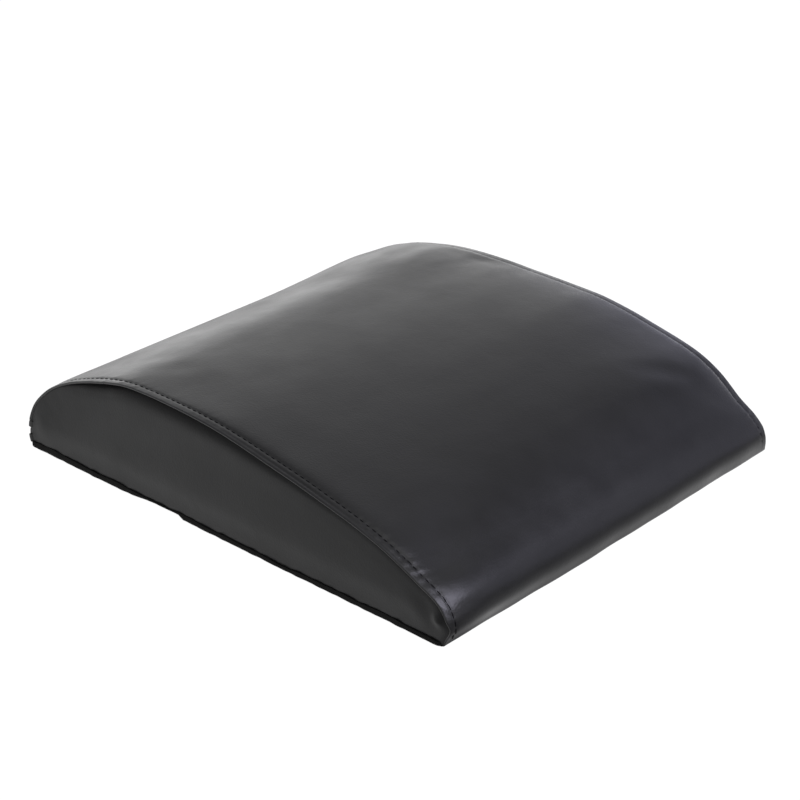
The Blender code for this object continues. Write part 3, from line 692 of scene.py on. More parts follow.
def feed(tree: bpy.types.NodeTree, node: bpy.types.Node, inputs: dict) -> None:
    """Sets a node's inputs.

    Args:
        tree: The node tree.
        node: The node.
        inputs: Socket name or number to a value, or to the socket or node that feeds it. A
            node feeds it from the first output that is in use.
    """
    for name, value in inputs.items():
        if isinstance(value, bpy.types.Node):
            value = next(socket for socket in value.outputs if socket.enabled)
        if isinstance(value, bpy.types.NodeSocket):
            tree.links.new(value, node.inputs[name])
        else:
            node.inputs[name].default_value = value


def add_node(
    tree: bpy.types.NodeTree, kind: str, inputs: dict | None = None, **settings: object
) -> bpy.types.Node:
    """Adds a node with its settings, values and links.

    Args:
        tree: The node tree.
        kind: The node's type.
        inputs: Its inputs, as feed takes them.
        settings: The node's own options.

    Returns:
        The node.
    """
    node = tree.nodes.new(kind)
    for name, value in settings.items():
        setattr(node, name, value)
    feed(tree, node, inputs or {})
    return node


def new_material(name: str) -> tuple[bpy.types.Material, bpy.types.NodeTree, bpy.types.Node]:
    """An empty material with its principled shader."""
    material = bpy.data.materials.new(name)
    material.use_nodes = True
    tree = material.node_tree
    return material, tree, tree.nodes["Principled BSDF"]


def per_metre(size_mm: float) -> float:
    """A pattern's scale for cells of this size."""
    return 1.0 / (size_mm * MM)


@dataclass(frozen=True)
class CoatedLeather:
    """Polyurethane-coated fabric, called synthetic leather: calendered with a fine pebble grain.

    The coating gives soft, wide highlights. The grain shows only as a faint break-up of them, and
    edges that rub on the floor and in hands go a little paler and smoother.
    """

    name: str = "pu_leather_calendered"
    colour: str = "#131314"
    mottle: str = "#191919"
    worn: str = "#29292b"
    roughness: float = 0.34
    specular: float = 0.5
    grain_mm: float = 1.1  # real grain is 0.6 mm, too fine for the render
    grain_depth: float = 0.00006

    @functools.cache
    def material(self) -> bpy.types.Material:
        """Builds the leather once."""
        material, tree, shader = new_material(self.name)
        add = functools.partial(add_node, tree)
        place = add("ShaderNodeTexCoord").outputs["Object"]
        cloud = add(
            "ShaderNodeTexNoise",
            {"Vector": place, "Scale": per_metre(38.0), "Detail": 3.0, "Roughness": 0.55},
        )
        fine = add(
            "ShaderNodeTexNoise",
            {"Vector": place, "Scale": per_metre(2.6), "Detail": 4.0, "Roughness": 0.6},
        )
        # The grain's cells are bent a little, so that none of them is straight
        nudge = add(
            "ShaderNodeVectorMath", {0: fine.outputs["Color"], "Scale": 0.00050}, operation="SCALE"
        )
        bent = add("ShaderNodeVectorMath", {0: place, 1: nudge}, operation="ADD")
        pebble = add(
            "ShaderNodeTexVoronoi",
            {"Vector": bent, "Scale": per_metre(self.grain_mm), "Smoothness": 0.35, "Randomness": 0.9},
            feature="SMOOTH_F1",
        )
        shade = add(
            "ShaderNodeMix",
            {"Factor": cloud, 6: linear(self.colour), 7: linear(self.mottle)},
            data_type="RGBA",
        )
        wear = add("ShaderNodeAttribute", attribute_name="wear")
        rubbed = add("ShaderNodeMath", {0: wear.outputs["Fac"], 1: fine}, operation="MULTIPLY")
        colour = add(
            "ShaderNodeMix", {"Factor": rubbed, 6: shade, 7: linear(self.worn)}, data_type="RGBA"
        )
        gloss = add(
            "ShaderNodeMapRange",
            {
                "Value": cloud, "From Min": 0.3, "From Max": 0.7, "To Min": self.roughness - 0.04,
                "To Max": self.roughness + 0.05,
            },
        )
        smoothed = add("ShaderNodeMath", {0: rubbed, 1: -0.16, 2: gloss}, operation="MULTIPLY_ADD")
        wave = add("ShaderNodeBump", {"Height": cloud, "Distance": 0.0010, "Strength": 0.35})
        grain = add(
            "ShaderNodeBump",
            {"Height": pebble, "Distance": self.grain_depth, "Strength": 0.8, "Normal": wave},
        )
        pores = add(
            "ShaderNodeBump", {"Height": fine, "Distance": 0.00005, "Strength": 0.5, "Normal": grain}
        )
        feed(
            tree,
            shader,
            {
                "Base Color": colour, "Roughness": smoothed, "Specular IOR Level": self.specular,
                "Normal": pores,
            },
        )
        return material


@dataclass(frozen=True)
class WovenCloth:
    """A plain weave of matt yarns, as the base fabric and the zip's tapes are.

    Yarns over and under give rows of tiny shadows, and the cloth has hardly any gloss.
    """

    name: str
    colour: str
    light: str
    yarn_mm: float
    depth: float = 0.00010
    roughness: float = 0.88

    @functools.cache
    def material(self) -> bpy.types.Material:
        """Builds the cloth once."""
        material, tree, shader = new_material(self.name)
        add = functools.partial(add_node, tree)
        place = add("ShaderNodeTexCoord").outputs["Object"]
        yarns = []
        for direction in ("X", "Y"):
            yarns.append(
                add(
                    "ShaderNodeTexWave",
                    {"Vector": place, "Scale": per_metre(self.yarn_mm) / 20.0 * math.pi},
                    bands_direction=direction,
                )
            )
        weave = add(
            "ShaderNodeMath",
            {0: yarns[0].outputs["Fac"], 1: yarns[1].outputs["Fac"]},
            operation="MULTIPLY",
        )
        fuzz = add("ShaderNodeTexNoise", {"Vector": place, "Scale": per_metre(1.2), "Detail": 5.0})
        mixed = add("ShaderNodeMath", {0: weave, 1: fuzz}, operation="MULTIPLY")
        colour = add(
            "ShaderNodeMix",
            {"Factor": mixed, 6: linear(self.colour), 7: linear(self.light)},
            data_type="RGBA",
        )
        bump = add("ShaderNodeBump", {"Height": mixed, "Distance": self.depth, "Strength": 0.8})
        feed(
            tree,
            shader,
            {
                "Base Color": colour, "Roughness": self.roughness, "Specular IOR Level": 0.25,
                "Normal": bump,
            },
        )
        return material


@dataclass(frozen=True)
class MouldedPlastic:
    """A moulded, drawn or spun plastic with a fine uneven surface.

    Used for the nylon coil, the soft PVC grip dots and the polyester thread.
    """

    name: str
    colour: str
    light: str
    roughness: float
    grain_mm: float
    depth: float = 0.00003
    specular: float = 0.5

    @functools.cache
    def material(self) -> bpy.types.Material:
        """Builds the plastic once."""
        material, tree, shader = new_material(self.name)
        add = functools.partial(add_node, tree)
        place = add("ShaderNodeTexCoord").outputs["Object"]
        grain = add(
            "ShaderNodeTexNoise", {"Vector": place, "Scale": per_metre(self.grain_mm), "Detail": 3.0}
        )
        colour = add(
            "ShaderNodeMix",
            {"Factor": grain, 6: linear(self.colour), 7: linear(self.light)},
            data_type="RGBA",
        )
        gloss = add(
            "ShaderNodeMapRange",
            {"Value": grain, "To Min": self.roughness - 0.08, "To Max": self.roughness + 0.08},
        )
        bump = add("ShaderNodeBump", {"Height": grain, "Distance": self.depth, "Strength": 0.7})
        feed(
            tree,
            shader,
            {
                "Base Color": colour, "Roughness": gloss, "Normal": bump,
                "Specular IOR Level": self.specular,
            },
        )
        return material


@dataclass(frozen=True)
class DieCastZinc:
    """Zinc, pressure cast, tumbled and plated black, as zip sliders are.

    Plating gives a dark mirror that is blurred by tumbling marks, and scattered worn patches show
    brighter.
    """

    name: str = "zinc_die_cast_black_plated"
    colour: str = "#3b3b40"
    bright: str = "#4c4c52"
    roughness: float = 0.34

    @functools.cache
    def material(self) -> bpy.types.Material:
        """Builds the plated metal once."""
        material, tree, shader = new_material(self.name)
        add = functools.partial(add_node, tree)
        place = add("ShaderNodeTexCoord").outputs["Object"]
        marks = add(
            "ShaderNodeTexNoise",
            {"Vector": place, "Scale": per_metre(0.8), "Detail": 4.0, "Roughness": 0.6},
        )
        patches = add("ShaderNodeTexNoise", {"Vector": place, "Scale": per_metre(4.0), "Detail": 2.0})
        worn = add("ShaderNodeMapRange", {"Value": patches, "From Min": 0.52, "From Max": 0.75})
        colour = add(
            "ShaderNodeMix",
            {"Factor": worn, 6: linear(self.colour), 7: linear(self.bright)},
            data_type="RGBA",
        )
        gloss = add(
            "ShaderNodeMapRange",
            {"Value": marks, "To Min": self.roughness - 0.10, "To Max": self.roughness + 0.12},
        )
        bump = add("ShaderNodeBump", {"Height": marks, "Distance": 0.00003, "Strength": 0.5})
        feed(tree, shader, {"Base Color": colour, "Roughness": gloss, "Normal": bump, "Metallic": 1.0})
        return material


@dataclass(frozen=True)
class OpenFoam:
    """Flexible polyurethane foam, moulded: charcoal, matt and full of fine open cells."""

    name: str = "pu_foam_moulded"
    colour: str = "#2c2c2e"
    pore: str = "#161617"

    @functools.cache
    def material(self) -> bpy.types.Material:
        """Builds the foam once."""
        material, tree, shader = new_material(self.name)
        add = functools.partial(add_node, tree)
        place = add("ShaderNodeTexCoord").outputs["Object"]
        cells = add("ShaderNodeTexVoronoi", {"Vector": place, "Scale": per_metre(1.2)})
        colour = add(
            "ShaderNodeMix",
            {"Factor": cells, 6: linear(self.pore), 7: linear(self.colour)},
            data_type="RGBA",
        )
        bump = add("ShaderNodeBump", {"Height": cells, "Distance": 0.0003, "Strength": 0.8})
        feed(
            tree,
            shader,
            {"Base Color": colour, "Normal": bump, "Roughness": 0.95, "Specular IOR Level": 0.2},
        )
        return material


TOP_LEATHER = CoatedLeather()
SIDE_LEATHER = CoatedLeather(name="pu_leather_side", roughness=0.42, specular=0.30)
# Near-black base cloth: the fabric's own colour. Where its turned-up rim shows at the foot, it is also
# partly painted shade under the cover's edge.
BASE_CLOTH = WovenCloth("polyester_base_fabric", "#0a0909", "#231f1e", 0.9)
TAPE_CLOTH = WovenCloth("polyester_zip_tape", "#0c0c0e", "#242427", 0.5)
GRIP_PVC = MouldedPlastic("pvc_grip_dots", "#101012", "#18181b", 0.55, 1.0)
NYLON = MouldedPlastic("nylon_coil_monofilament", "#121214", "#1c1c1f", 0.36, 0.8)
THREAD = MouldedPlastic("polyester_sewing_thread", "#060607", "#101012", 0.80, 0.35, 0.00006, 0.2)
ZINC = DieCastZinc()
FOAM = OpenFoam()


def dress(piece: bpy.types.Object, finish: object) -> None:
    """Gives a piece its one finish."""
    piece.data.materials.clear()
    piece.data.materials.append(finish.material())


# Geometry Nodes


def new_geometry_tree(name: str, inputs: dict[str, str]) -> tuple:
    """A Geometry Nodes tree with named inputs.

    Args:
        name: The tree's name.
        inputs: Each input's name and socket type.

    Returns:
        The tree, its input node and its output node.
    """
    tree = bpy.data.node_groups.new(name, "GeometryNodeTree")
    tree.interface.new_socket("Geometry", in_out="INPUT", socket_type="NodeSocketGeometry")
    for title, kind in inputs.items():
        tree.interface.new_socket(title, in_out="INPUT", socket_type=kind)
    tree.interface.new_socket("Geometry", in_out="OUTPUT", socket_type="NodeSocketGeometry")
    return tree, add_node(tree, "NodeGroupInput"), add_node(tree, "NodeGroupOutput")


def finish_tree(
    tree: bpy.types.NodeTree, shape: bpy.types.Node, material: bpy.types.NodeSocket, out: bpy.types.Node
) -> None:
    """Ends a tree with real geometry, smooth shading and a material."""
    real = add_node(tree, "GeometryNodeRealizeInstances", {"Geometry": shape})
    smooth = add_node(tree, "GeometryNodeSetShadeSmooth", {"Geometry": real})
    values = {"Geometry": smooth, "Material": material}
    feed(tree, out, {0: add_node(tree, "GeometryNodeSetMaterial", values)})


@functools.cache
def stitch_tree() -> bpy.types.NodeTree:
    """Stitches along a line: each a short arched thread whose ends dip into the cover."""
    tree, given, out = new_geometry_tree(
        "stitch_row",
        {
            "Pitch": "NodeSocketFloat", "Stitch length": "NodeSocketFloat",
            "Thread radius": "NodeSocketFloat", "Arch": "NodeSocketFloat",
            "Unevenness": "NodeSocketFloat", "Material": "NodeSocketMaterial",
        },
    )
    add = functools.partial(add_node, tree)
    line = add("GeometryNodeMeshToCurve", {"Mesh": given.outputs["Geometry"]})
    spots = add(
        "GeometryNodeResampleCurve", {"Curve": line, "Length": given.outputs["Pitch"]}, mode="LENGTH"
    )
    half = add("ShaderNodeMath", {0: given.outputs["Stitch length"], 1: 0.5}, operation="MULTIPLY")
    back = add("ShaderNodeMath", {0: half, 1: -1.0}, operation="MULTIPLY")
    low = add("ShaderNodeMath", {0: given.outputs["Thread radius"], 1: -1.6}, operation="MULTIPLY")
    ends = [add("ShaderNodeCombineXYZ", {"X": x, "Z": low}) for x in (back, half)]
    top = add("ShaderNodeCombineXYZ", {"Z": given.outputs["Arch"]})
    arch = add(
        "GeometryNodeCurveQuadraticBezier",
        {"Resolution": 6, "Start": ends[0], "Middle": top, "End": ends[1]},
    )
    ring = add(
        "GeometryNodeCurvePrimitiveCircle", {"Resolution": 6, "Radius": given.outputs["Thread radius"]}
    )
    thread = add("GeometryNodeCurveToMesh", {"Curve": arch, "Profile Curve": ring, "Fill Caps": True})
    outward = add("GeometryNodeInputNamedAttribute", data_type="FLOAT_VECTOR")
    outward.inputs["Name"].default_value = "outward"
    tangent = add("GeometryNodeInputTangent")
    upright = add(
        "FunctionNodeAlignRotationToVector", {"Vector": outward.outputs["Attribute"]}, axis="Z"
    )
    turned = add(
        "FunctionNodeAlignRotationToVector", {"Rotation": upright, "Vector": tangent}, axis="X",
        pivot_axis="Z",
    )
    low_turn = add("ShaderNodeMath", {0: given.outputs["Unevenness"], 1: -1.0}, operation="MULTIPLY")
    # Inputs 2 and 3 are the least and the most of a plain number
    sway = add(
        "FunctionNodeRandomValue",
        {2: low_turn, 3: given.outputs["Unevenness"], "Seed": 7},
        data_type="FLOAT",
    )
    twist = add("ShaderNodeCombineXYZ", {"Z": sway.outputs[1]})
    spin = add("FunctionNodeEulerToRotation", {0: twist})
    aimed = add("FunctionNodeRotateRotation", {0: turned, 1: spin}, rotation_space="LOCAL")
    row = add("GeometryNodeInstanceOnPoints", {"Points": spots, "Instance": thread, "Rotation": aimed})
    finish_tree(tree, row, given.outputs["Material"], out)
    return tree


@functools.cache
def coil_tree() -> bpy.types.NodeTree:
    """One half of a zip's chain: a monofilament wound in flattened turns along X."""
    tree, given, out = new_geometry_tree(
        "zip_coil",
        {
            "Length": "NodeSocketFloat", "Turns": "NodeSocketFloat", "Half width": "NodeSocketFloat",
            "Half thickness": "NodeSocketFloat", "Wire radius": "NodeSocketFloat",
            "Material": "NodeSocketMaterial",
        },
    )
    add = functools.partial(add_node, tree)
    helix = add(
        "GeometryNodeCurveSpiral",
        {
            "Resolution": 12, "Rotations": given.outputs["Turns"], "Start Radius": 1.0,
            "End Radius": 1.0, "Height": given.outputs["Length"],
        },
    )
    spot = add("ShaderNodeSeparateXYZ", {0: add("GeometryNodeInputPosition")})
    wide = add(
        "ShaderNodeMath", {0: spot.outputs["X"], 1: given.outputs["Half width"]}, operation="MULTIPLY"
    )
    thick = add(
        "ShaderNodeMath",
        {0: spot.outputs["Y"], 1: given.outputs["Half thickness"]},
        operation="MULTIPLY",
    )
    laid = add("ShaderNodeCombineXYZ", {"X": spot.outputs["Z"], "Y": wide, "Z": thick})
    shaped = add("GeometryNodeSetPosition", {"Geometry": helix, "Position": laid})
    ring = add(
        "GeometryNodeCurvePrimitiveCircle", {"Resolution": 6, "Radius": given.outputs["Wire radius"]}
    )
    wire = add("GeometryNodeCurveToMesh", {"Curve": shaped, "Profile Curve": ring, "Fill Caps": True})
    finish_tree(tree, wire, given.outputs["Material"], out)
    return tree


@functools.cache
def dot_tree() -> bpy.types.NodeTree:
    """Flat round grip dots on each point of a mesh."""
    tree, given, out = new_geometry_tree(
        "grip_dots",
        {"Radius": "NodeSocketFloat", "Height": "NodeSocketFloat", "Material": "NodeSocketMaterial"},
    )
    add = functools.partial(add_node, tree)
    ball = add("GeometryNodeMeshIcoSphere", {"Radius": given.outputs["Radius"], "Subdivisions": 2})
    flat = add(
        "ShaderNodeMath", {0: given.outputs["Height"], 1: given.outputs["Radius"]}, operation="DIVIDE"
    )
    size = add("ShaderNodeCombineXYZ", {"X": 1.0, "Y": 1.0, "Z": flat})
    row = add(
        "GeometryNodeInstanceOnPoints",
        {"Points": given.outputs["Geometry"], "Instance": ball, "Scale": size},
    )
    finish_tree(tree, row, given.outputs["Material"], out)
    return tree


def grow(
    name: str, points: np.ndarray, edges: Sequence, tree: bpy.types.NodeTree, values: dict,
    outward: np.ndarray | None = None,
) -> bpy.types.Object:
    """Runs a tree on a bare line or set of points and keeps the result as a plain mesh.

    Args:
        name: The piece's name.
        points: The points that the tree works on.
        edges: Their edges.
        tree: The Geometry Nodes tree.
        values: Value of each named input.
        outward: The way out of the cover at each point, kept as an attribute.

    Returns:
        The finished object, without modifiers.
    """
    seed = bpy.data.meshes.new(name + "_path")
    seed.from_pydata(np.asarray(points).tolist(), list(edges), [])
    if outward is not None:
        layer = seed.attributes.new("outward", "FLOAT_VECTOR", "POINT")
        layer.data.foreach_set("vector", np.asarray(outward, np.float32).ravel())
    maker = link_object(name + "_path", seed)
    modifier = maker.modifiers.new(tree.name, "NODES")
    modifier.node_group = tree
    for item in tree.interface.items_tree:
        if item.item_type == "SOCKET" and item.in_out == "INPUT" and item.name in values:
            modifier[item.identifier] = values[item.name]
    evaluated = maker.evaluated_get(bpy.context.evaluated_depsgraph_get())
    data = bpy.data.meshes.new_from_object(evaluated)
    data.name = name
    bpy.data.objects.remove(maker)
    return link_object(name, data)


# Sewn cover


@dataclass
class SewnCover:
    """What all panels of the cover share."""

    form: PadForm
    thickness: float = 0.0012
    band_reach: float = 0.012
    foot_tuck: float = 0.0014
    # Where the turned edge is rubbed, in from the seam, and how wide
    rub_place: float = 0.0006
    rub_width: float = 0.0011
    # The turned edge at a seam: (inward, depth) of the face and of the back, in millimetres
    edge_face: tuple = (
        (1.00, 1.80), (0.66, 1.64), (0.32, 1.28), (0.10, 0.90), (0.00, 0.56), (0.05, 0.30),
        (0.22, 0.11), (0.55, 0.02), (1.05, 0.00),
    )
    edge_back: tuple = (
        (1.25, 1.95), (1.22, 1.80), (1.20, 1.65), (1.20, 1.50), (1.22, 1.40), (1.30, 1.30),
        (1.45, 1.23), (1.70, 1.20), (2.10, 1.20),
    )
    # The folded edge at the foot and at the zip: (in from the edge, depth), in millimetres
    fold_face: tuple = ((0.00, 0.95), (0.06, 0.50), (0.25, 0.20), (0.60, 0.05))

    def columns(self, back: bool) -> tuple[np.ndarray, np.ndarray]:
        """Widths of the mesh lines from seam to seam, and the depth of each."""
        edge = np.array(self.edge_back if back else self.edge_face) * MM
        half = self.form.half
        middle = np.linspace(self.band_reach, half, 38)
        fine = np.linspace(0.0024 if back else 0.0014, self.band_reach - 0.0004, 26)
        inward = np.concatenate([edge[:, 0], fine, middle])
        depth = np.concatenate([edge[:, 1], np.full(len(fine) + len(middle), 0.0)])
        if back:
            depth[len(edge) :] = self.thickness
        x = half - inward
        return np.concatenate([-x, x[-2::-1]]), np.concatenate([depth, depth[-2::-1]])

    def rows(self, start: float, stop: float, spacing: float) -> tuple[np.ndarray, np.ndarray]:
        """Places of the mesh lines along the outline between two folded edges, and their depth."""
        fold = np.array(self.fold_face) * MM
        first = start + fold[:, 0]
        last = (stop - fold[:, 0])[::-1]
        inner = 0.0010
        count = max(2, round((stop - start - 2 * inner) / spacing) + 1)
        middle = np.linspace(start + inner, stop - inner, count)
        along = np.concatenate([first, middle, last])
        depth = np.concatenate([fold[:, 1], np.zeros(count), fold[::-1, 1]])
        return along, depth

    def panel(self, name: str, start: float, stop: float, spacing: float) -> bpy.types.Object:
        """A panel across the pad, from seam to seam, with its edges turned in.

        Args:
            name: The panel's name.
            start: Place along the outline where it starts.
            stop: Place where it ends.
            spacing: Step of its mesh along the outline.

        Returns:
            The panel.
        """
        along, fold_depth = self.rows(start, stop, spacing)
        grids = []
        for back in (False, True):
            x, depth = self.columns(back)
            row_depth = np.maximum(0.0, fold_depth - 0.0007) if back else fold_depth
            total = depth[None, :] + row_depth[:, None]
            narrowed = 1.0 - self.foot_tuck / self.form.half * self.form.at_foot(along)
            grids.append(self.form.face(x[None, :] * narrowed[:, None], along[:, None], total))
        points, faces = closed_sheet(*grids)
        x, _ = self.columns(False)
        inward = self.form.half - np.abs(x)
        rubbed = 0.5 * bell(inward[None, :] - self.rub_place, self.rub_width)
        worn = rubbed + 0.5 * (fold_depth[:, None] > 0.0)
        return mesh_object(name, points, faces, np.clip(worn, 0.0, 1.0))


@dataclass
class TopCover(SewnCover):
    """The one leather panel from the front foot over the crest and down to the zip."""

    spacing: float = 0.00125

    def build(self) -> bpy.types.Object:
        """Makes the panel."""
        form = self.form
        return self.panel("top_cover", form.front_edge, form.zip_top_edge, self.spacing)

    def dress(self, piece: bpy.types.Object) -> None:
        """Leather, on the pad, in place of the CAD panel."""
        dress(piece, TOP_LEATHER)
        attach(piece, "pad")
        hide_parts("top_panel")


@dataclass
class ZipEndTab(SewnCover):
    """The small leather tab that closes the cover past each end of the zip."""

    side: Side = Side.LEFT
    inner: float = 0.1463
    clearance: float = 0.0002
    set_back: float = 0.0019
    recess: float = 0.0004

    def build(self) -> bpy.types.Object:
        """Makes the tab, from the seam inwards."""
        form = self.form
        edge = np.array(self.edge_face) * MM
        fold = np.array(self.fold_face)[::-1] * MM
        reach = form.half - self.inner
        middle = np.arange(0.0020, reach - 0.0008, 0.0006)
        inward = np.concatenate([edge[:, 0], middle, reach - fold[:, 0]])
        depth = np.concatenate([edge[:, 1], np.zeros(len(middle)), fold[:, 1]])
        start, stop = form.zip_top_edge + self.clearance, form.zip_low_edge - self.clearance
        along, fold_depth = self.rows(start, stop, 0.0006)
        # Its upper half is turned in with the top cover's edge, the lower half under the wall
        under = ease((along - form.zip_middle + 0.0004) / 0.0010)[:, None]
        share = 1.0 - inward[None, :] / reach
        x = self.side.value * (form.half - inward[None, :] - self.set_back * under * share)
        total = depth[None, :] + fold_depth[:, None] + self.recess * under
        puff = -0.0003 * np.sin(math.pi * (along - start) / (stop - start))[:, None]
        grids = [form.face(x, along[:, None], total + puff + extra) for extra in (0.0, self.thickness)]
        points, faces = closed_sheet(*grids)
        rubbed = bell(inward - self.rub_place, self.rub_width)
        worn = np.clip(rubbed[None, :] + (fold_depth[:, None] > 0), 0, 1)
        return mesh_object(f"zip_end_tab_{self.side.name.lower()}", points, faces, worn)

    def dress(self, piece: bpy.types.Object) -> None:
        """Leather, on the pad."""
        dress(piece, TOP_LEATHER)
        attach(piece, "pad")


@dataclass
class RearStrip(SewnCover):
    """The leather strip between the zip and the base."""

    spacing: float = 0.0008

    def build(self) -> bpy.types.Object:
        """Makes the strip."""
        form = self.form
        return self.panel("rear_strip", form.zip_low_edge, form.rear_edge, self.spacing)

    def dress(self, piece: bpy.types.Object) -> None:
        """Leather, on the pad, in place of the CAD strip."""
        dress(piece, TOP_LEATHER)
        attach(piece, "pad")
        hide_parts("rear_lower_strip")


@dataclass
class SideCover(SewnCover):
    """One arch-shaped side wall, drawn in under the top panel's edge."""

    side: Side = Side.LEFT
    top_tuck: float = 0.0016
    groove: float = 0.0046
    groove_width: float = 0.0050
    spine_margin: float = 0.056
    spine_share: float = 0.46
    plain_bulge: float = 0.0020
    rings: tuple = (
        0.0, 0.010, 0.022, 0.036, 0.052, 0.070, 0.090, 0.112, 0.137, 0.165, 0.200,
        0.240, 0.290, 0.350, 0.420, 0.500, 0.590, 0.690, 0.790, 0.900, 1.0,
    )

    def edge_loop(self) -> np.ndarray:
        """The wall's edge (y, z): over the pad, then back along the foot."""
        form = self.form
        along = np.linspace(form.front_edge, form.rear_edge, 300)
        upper = form.seam(self.side, along, self.tuck(along))
        low, high = -self.spine_reach() + form.centre_y, self.spine_reach() + form.centre_y
        inner = upper[(upper[:, 0] > low) & (upper[:, 0] < high), 0][::-1]
        start, stop = upper[-1], upper[0]
        rear = np.linspace(start[0], high, 28)[1:]
        front = np.linspace(low, stop[0], 28)[:-1]
        y = np.concatenate([rear, inner, front])
        share = (y - start[0]) / (stop[0] - start[0])
        foot = np.column_stack([y, start[1] + share * (stop[1] - start[1])])
        return np.concatenate([upper, foot])

    def tuck(self, along: np.ndarray) -> np.ndarray:
        """How deep the wall's edge lies: it comes up to the outline below the top cover."""
        below = ease((along - self.form.zip_middle + 0.001) / 0.003)
        return self.top_tuck - 0.0012 * below - 0.0010 * self.form.at_foot(along)

    def spine_reach(self) -> float:
        """How far the wall's middle line runs either way."""
        return self.form.length / 2 - self.spine_margin

    def ring_points(self) -> np.ndarray:
        """Rings of (y, z) from the wall's edge in to its middle line."""
        form = self.form
        edge = self.edge_loop()
        along = np.linspace(0.01, form.rear_edge, 300)
        upper = form.seam(self.side, along, self.tuck(along))
        order = np.argsort(upper[:, 0])
        reach = self.spine_reach()
        y = np.clip(edge[:, 0], form.centre_y - reach, form.centre_y + reach)
        z = self.spine_share * np.interp(y, upper[order, 0], upper[order, 1])
        spine = np.column_stack([y, z])
        shares = np.array(self.rings)[:, None, None]
        return edge[None] * (1 - shares) + spine[None] * shares

    def out(self, y: np.ndarray, z: np.ndarray) -> np.ndarray:
        """How far the wall's face stands out from the middle of the pad.

        Args:
            y: Places along the pad.
            z: Their heights.

        Returns:
            The distance at each place, with the groove under the seam, the swell and the folds.
        """
        form = self.form
        along = np.linspace(form.front_edge, form.rear_edge, 1100)
        seam = form.seam(self.side, along, 0.0)
        spots = np.stack([y, z], -1).reshape(-1, 2)
        to_seam = np.empty(len(spots))
        nearest = np.empty(len(spots), int)
        for start in range(0, len(spots), 2000):
            part = spots[start : start + 2000]
            reach = np.hypot(*(part[:, None] - seam[None]).transpose(2, 0, 1))
            nearest[start : start + 2000] = reach.argmin(1)
            to_seam[start : start + 2000] = reach.min(1)
        to_seam = to_seam.reshape(y.shape)
        place = along[nearest].reshape(y.shape)
        # The groove under the turned edge is deepest at the crest and shallow in front
        deep = 0.34 + 0.66 * ease((place - 0.08) / 0.15)
        deep = deep * (0.05 + 0.95 * ease((0.362 - place) / 0.06))
        deep = deep + 0.20 * bell(place - form.crest_place, 0.050)
        wide = self.groove_width * (0.40 + 0.60 * deep)
        foot = form.at_foot(place) * bell(to_seam, 0.0035)
        out = form.half - form.seam_lip * (1.0 - 0.85 * foot)
        out = out - self.groove * deep * np.exp(-((to_seam / wide) ** 2))
        swell = form.side_swell.get(self.side)
        window = ease((to_seam - 0.002) / 0.010) * ease((z - 0.001) / 0.022)
        if swell is None:
            out = out + self.plain_bulge * window
        else:
            out = out + swell.sample(y, z) * window + 0.0006 * window
        crease = ripple(place, 0.0125, 5 if self.side is Side.LEFT else 6)
        crease = crease * ease((place - 0.05) / 0.03)
        out = out + 0.00005 * crease * bell(to_seam - 0.006, 0.006)
        lines = SIDE_FOLDS if self.side is Side.LEFT else SIDE_FOLDS[2:]
        return out + sum(fold.level(y, z) for fold in lines)

    def build(self) -> bpy.types.Object:
        """Makes the wall, with its thickness."""
        rings = self.ring_points()
        out = self.out(rings[..., 0], rings[..., 1])
        sign = self.side.value
        face = np.concatenate([(sign * out)[..., None], rings], -1)
        back = face.copy()
        back[..., 0] -= sign * self.thickness
        rows, count = rings.shape[:2]
        size = rows * count
        rim = np.arange(count)
        after = np.roll(rim, -1)
        walls = np.stack([rim, after, after + size, rim + size], -1)
        faces = np.concatenate(
            [grid_faces(rows, count, 0, True), grid_faces(rows, count, size, True), walls]
        )
        points = np.concatenate([face.reshape(-1, 3), back.reshape(-1, 3)])
        low = bell(rings[..., 1] - 0.0045, 0.0016) * 0.25
        return mesh_object(f"{self.side.name.lower()}_side_cover", points, faces, low, 2e-5)

    def dress(self, piece: bpy.types.Object) -> None:
        """Leather, on the pad, in place of the CAD wall."""
        dress(piece, SIDE_LEATHER)
        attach(piece, "pad")
        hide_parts(f"{self.side.name.lower()}_side_panel")


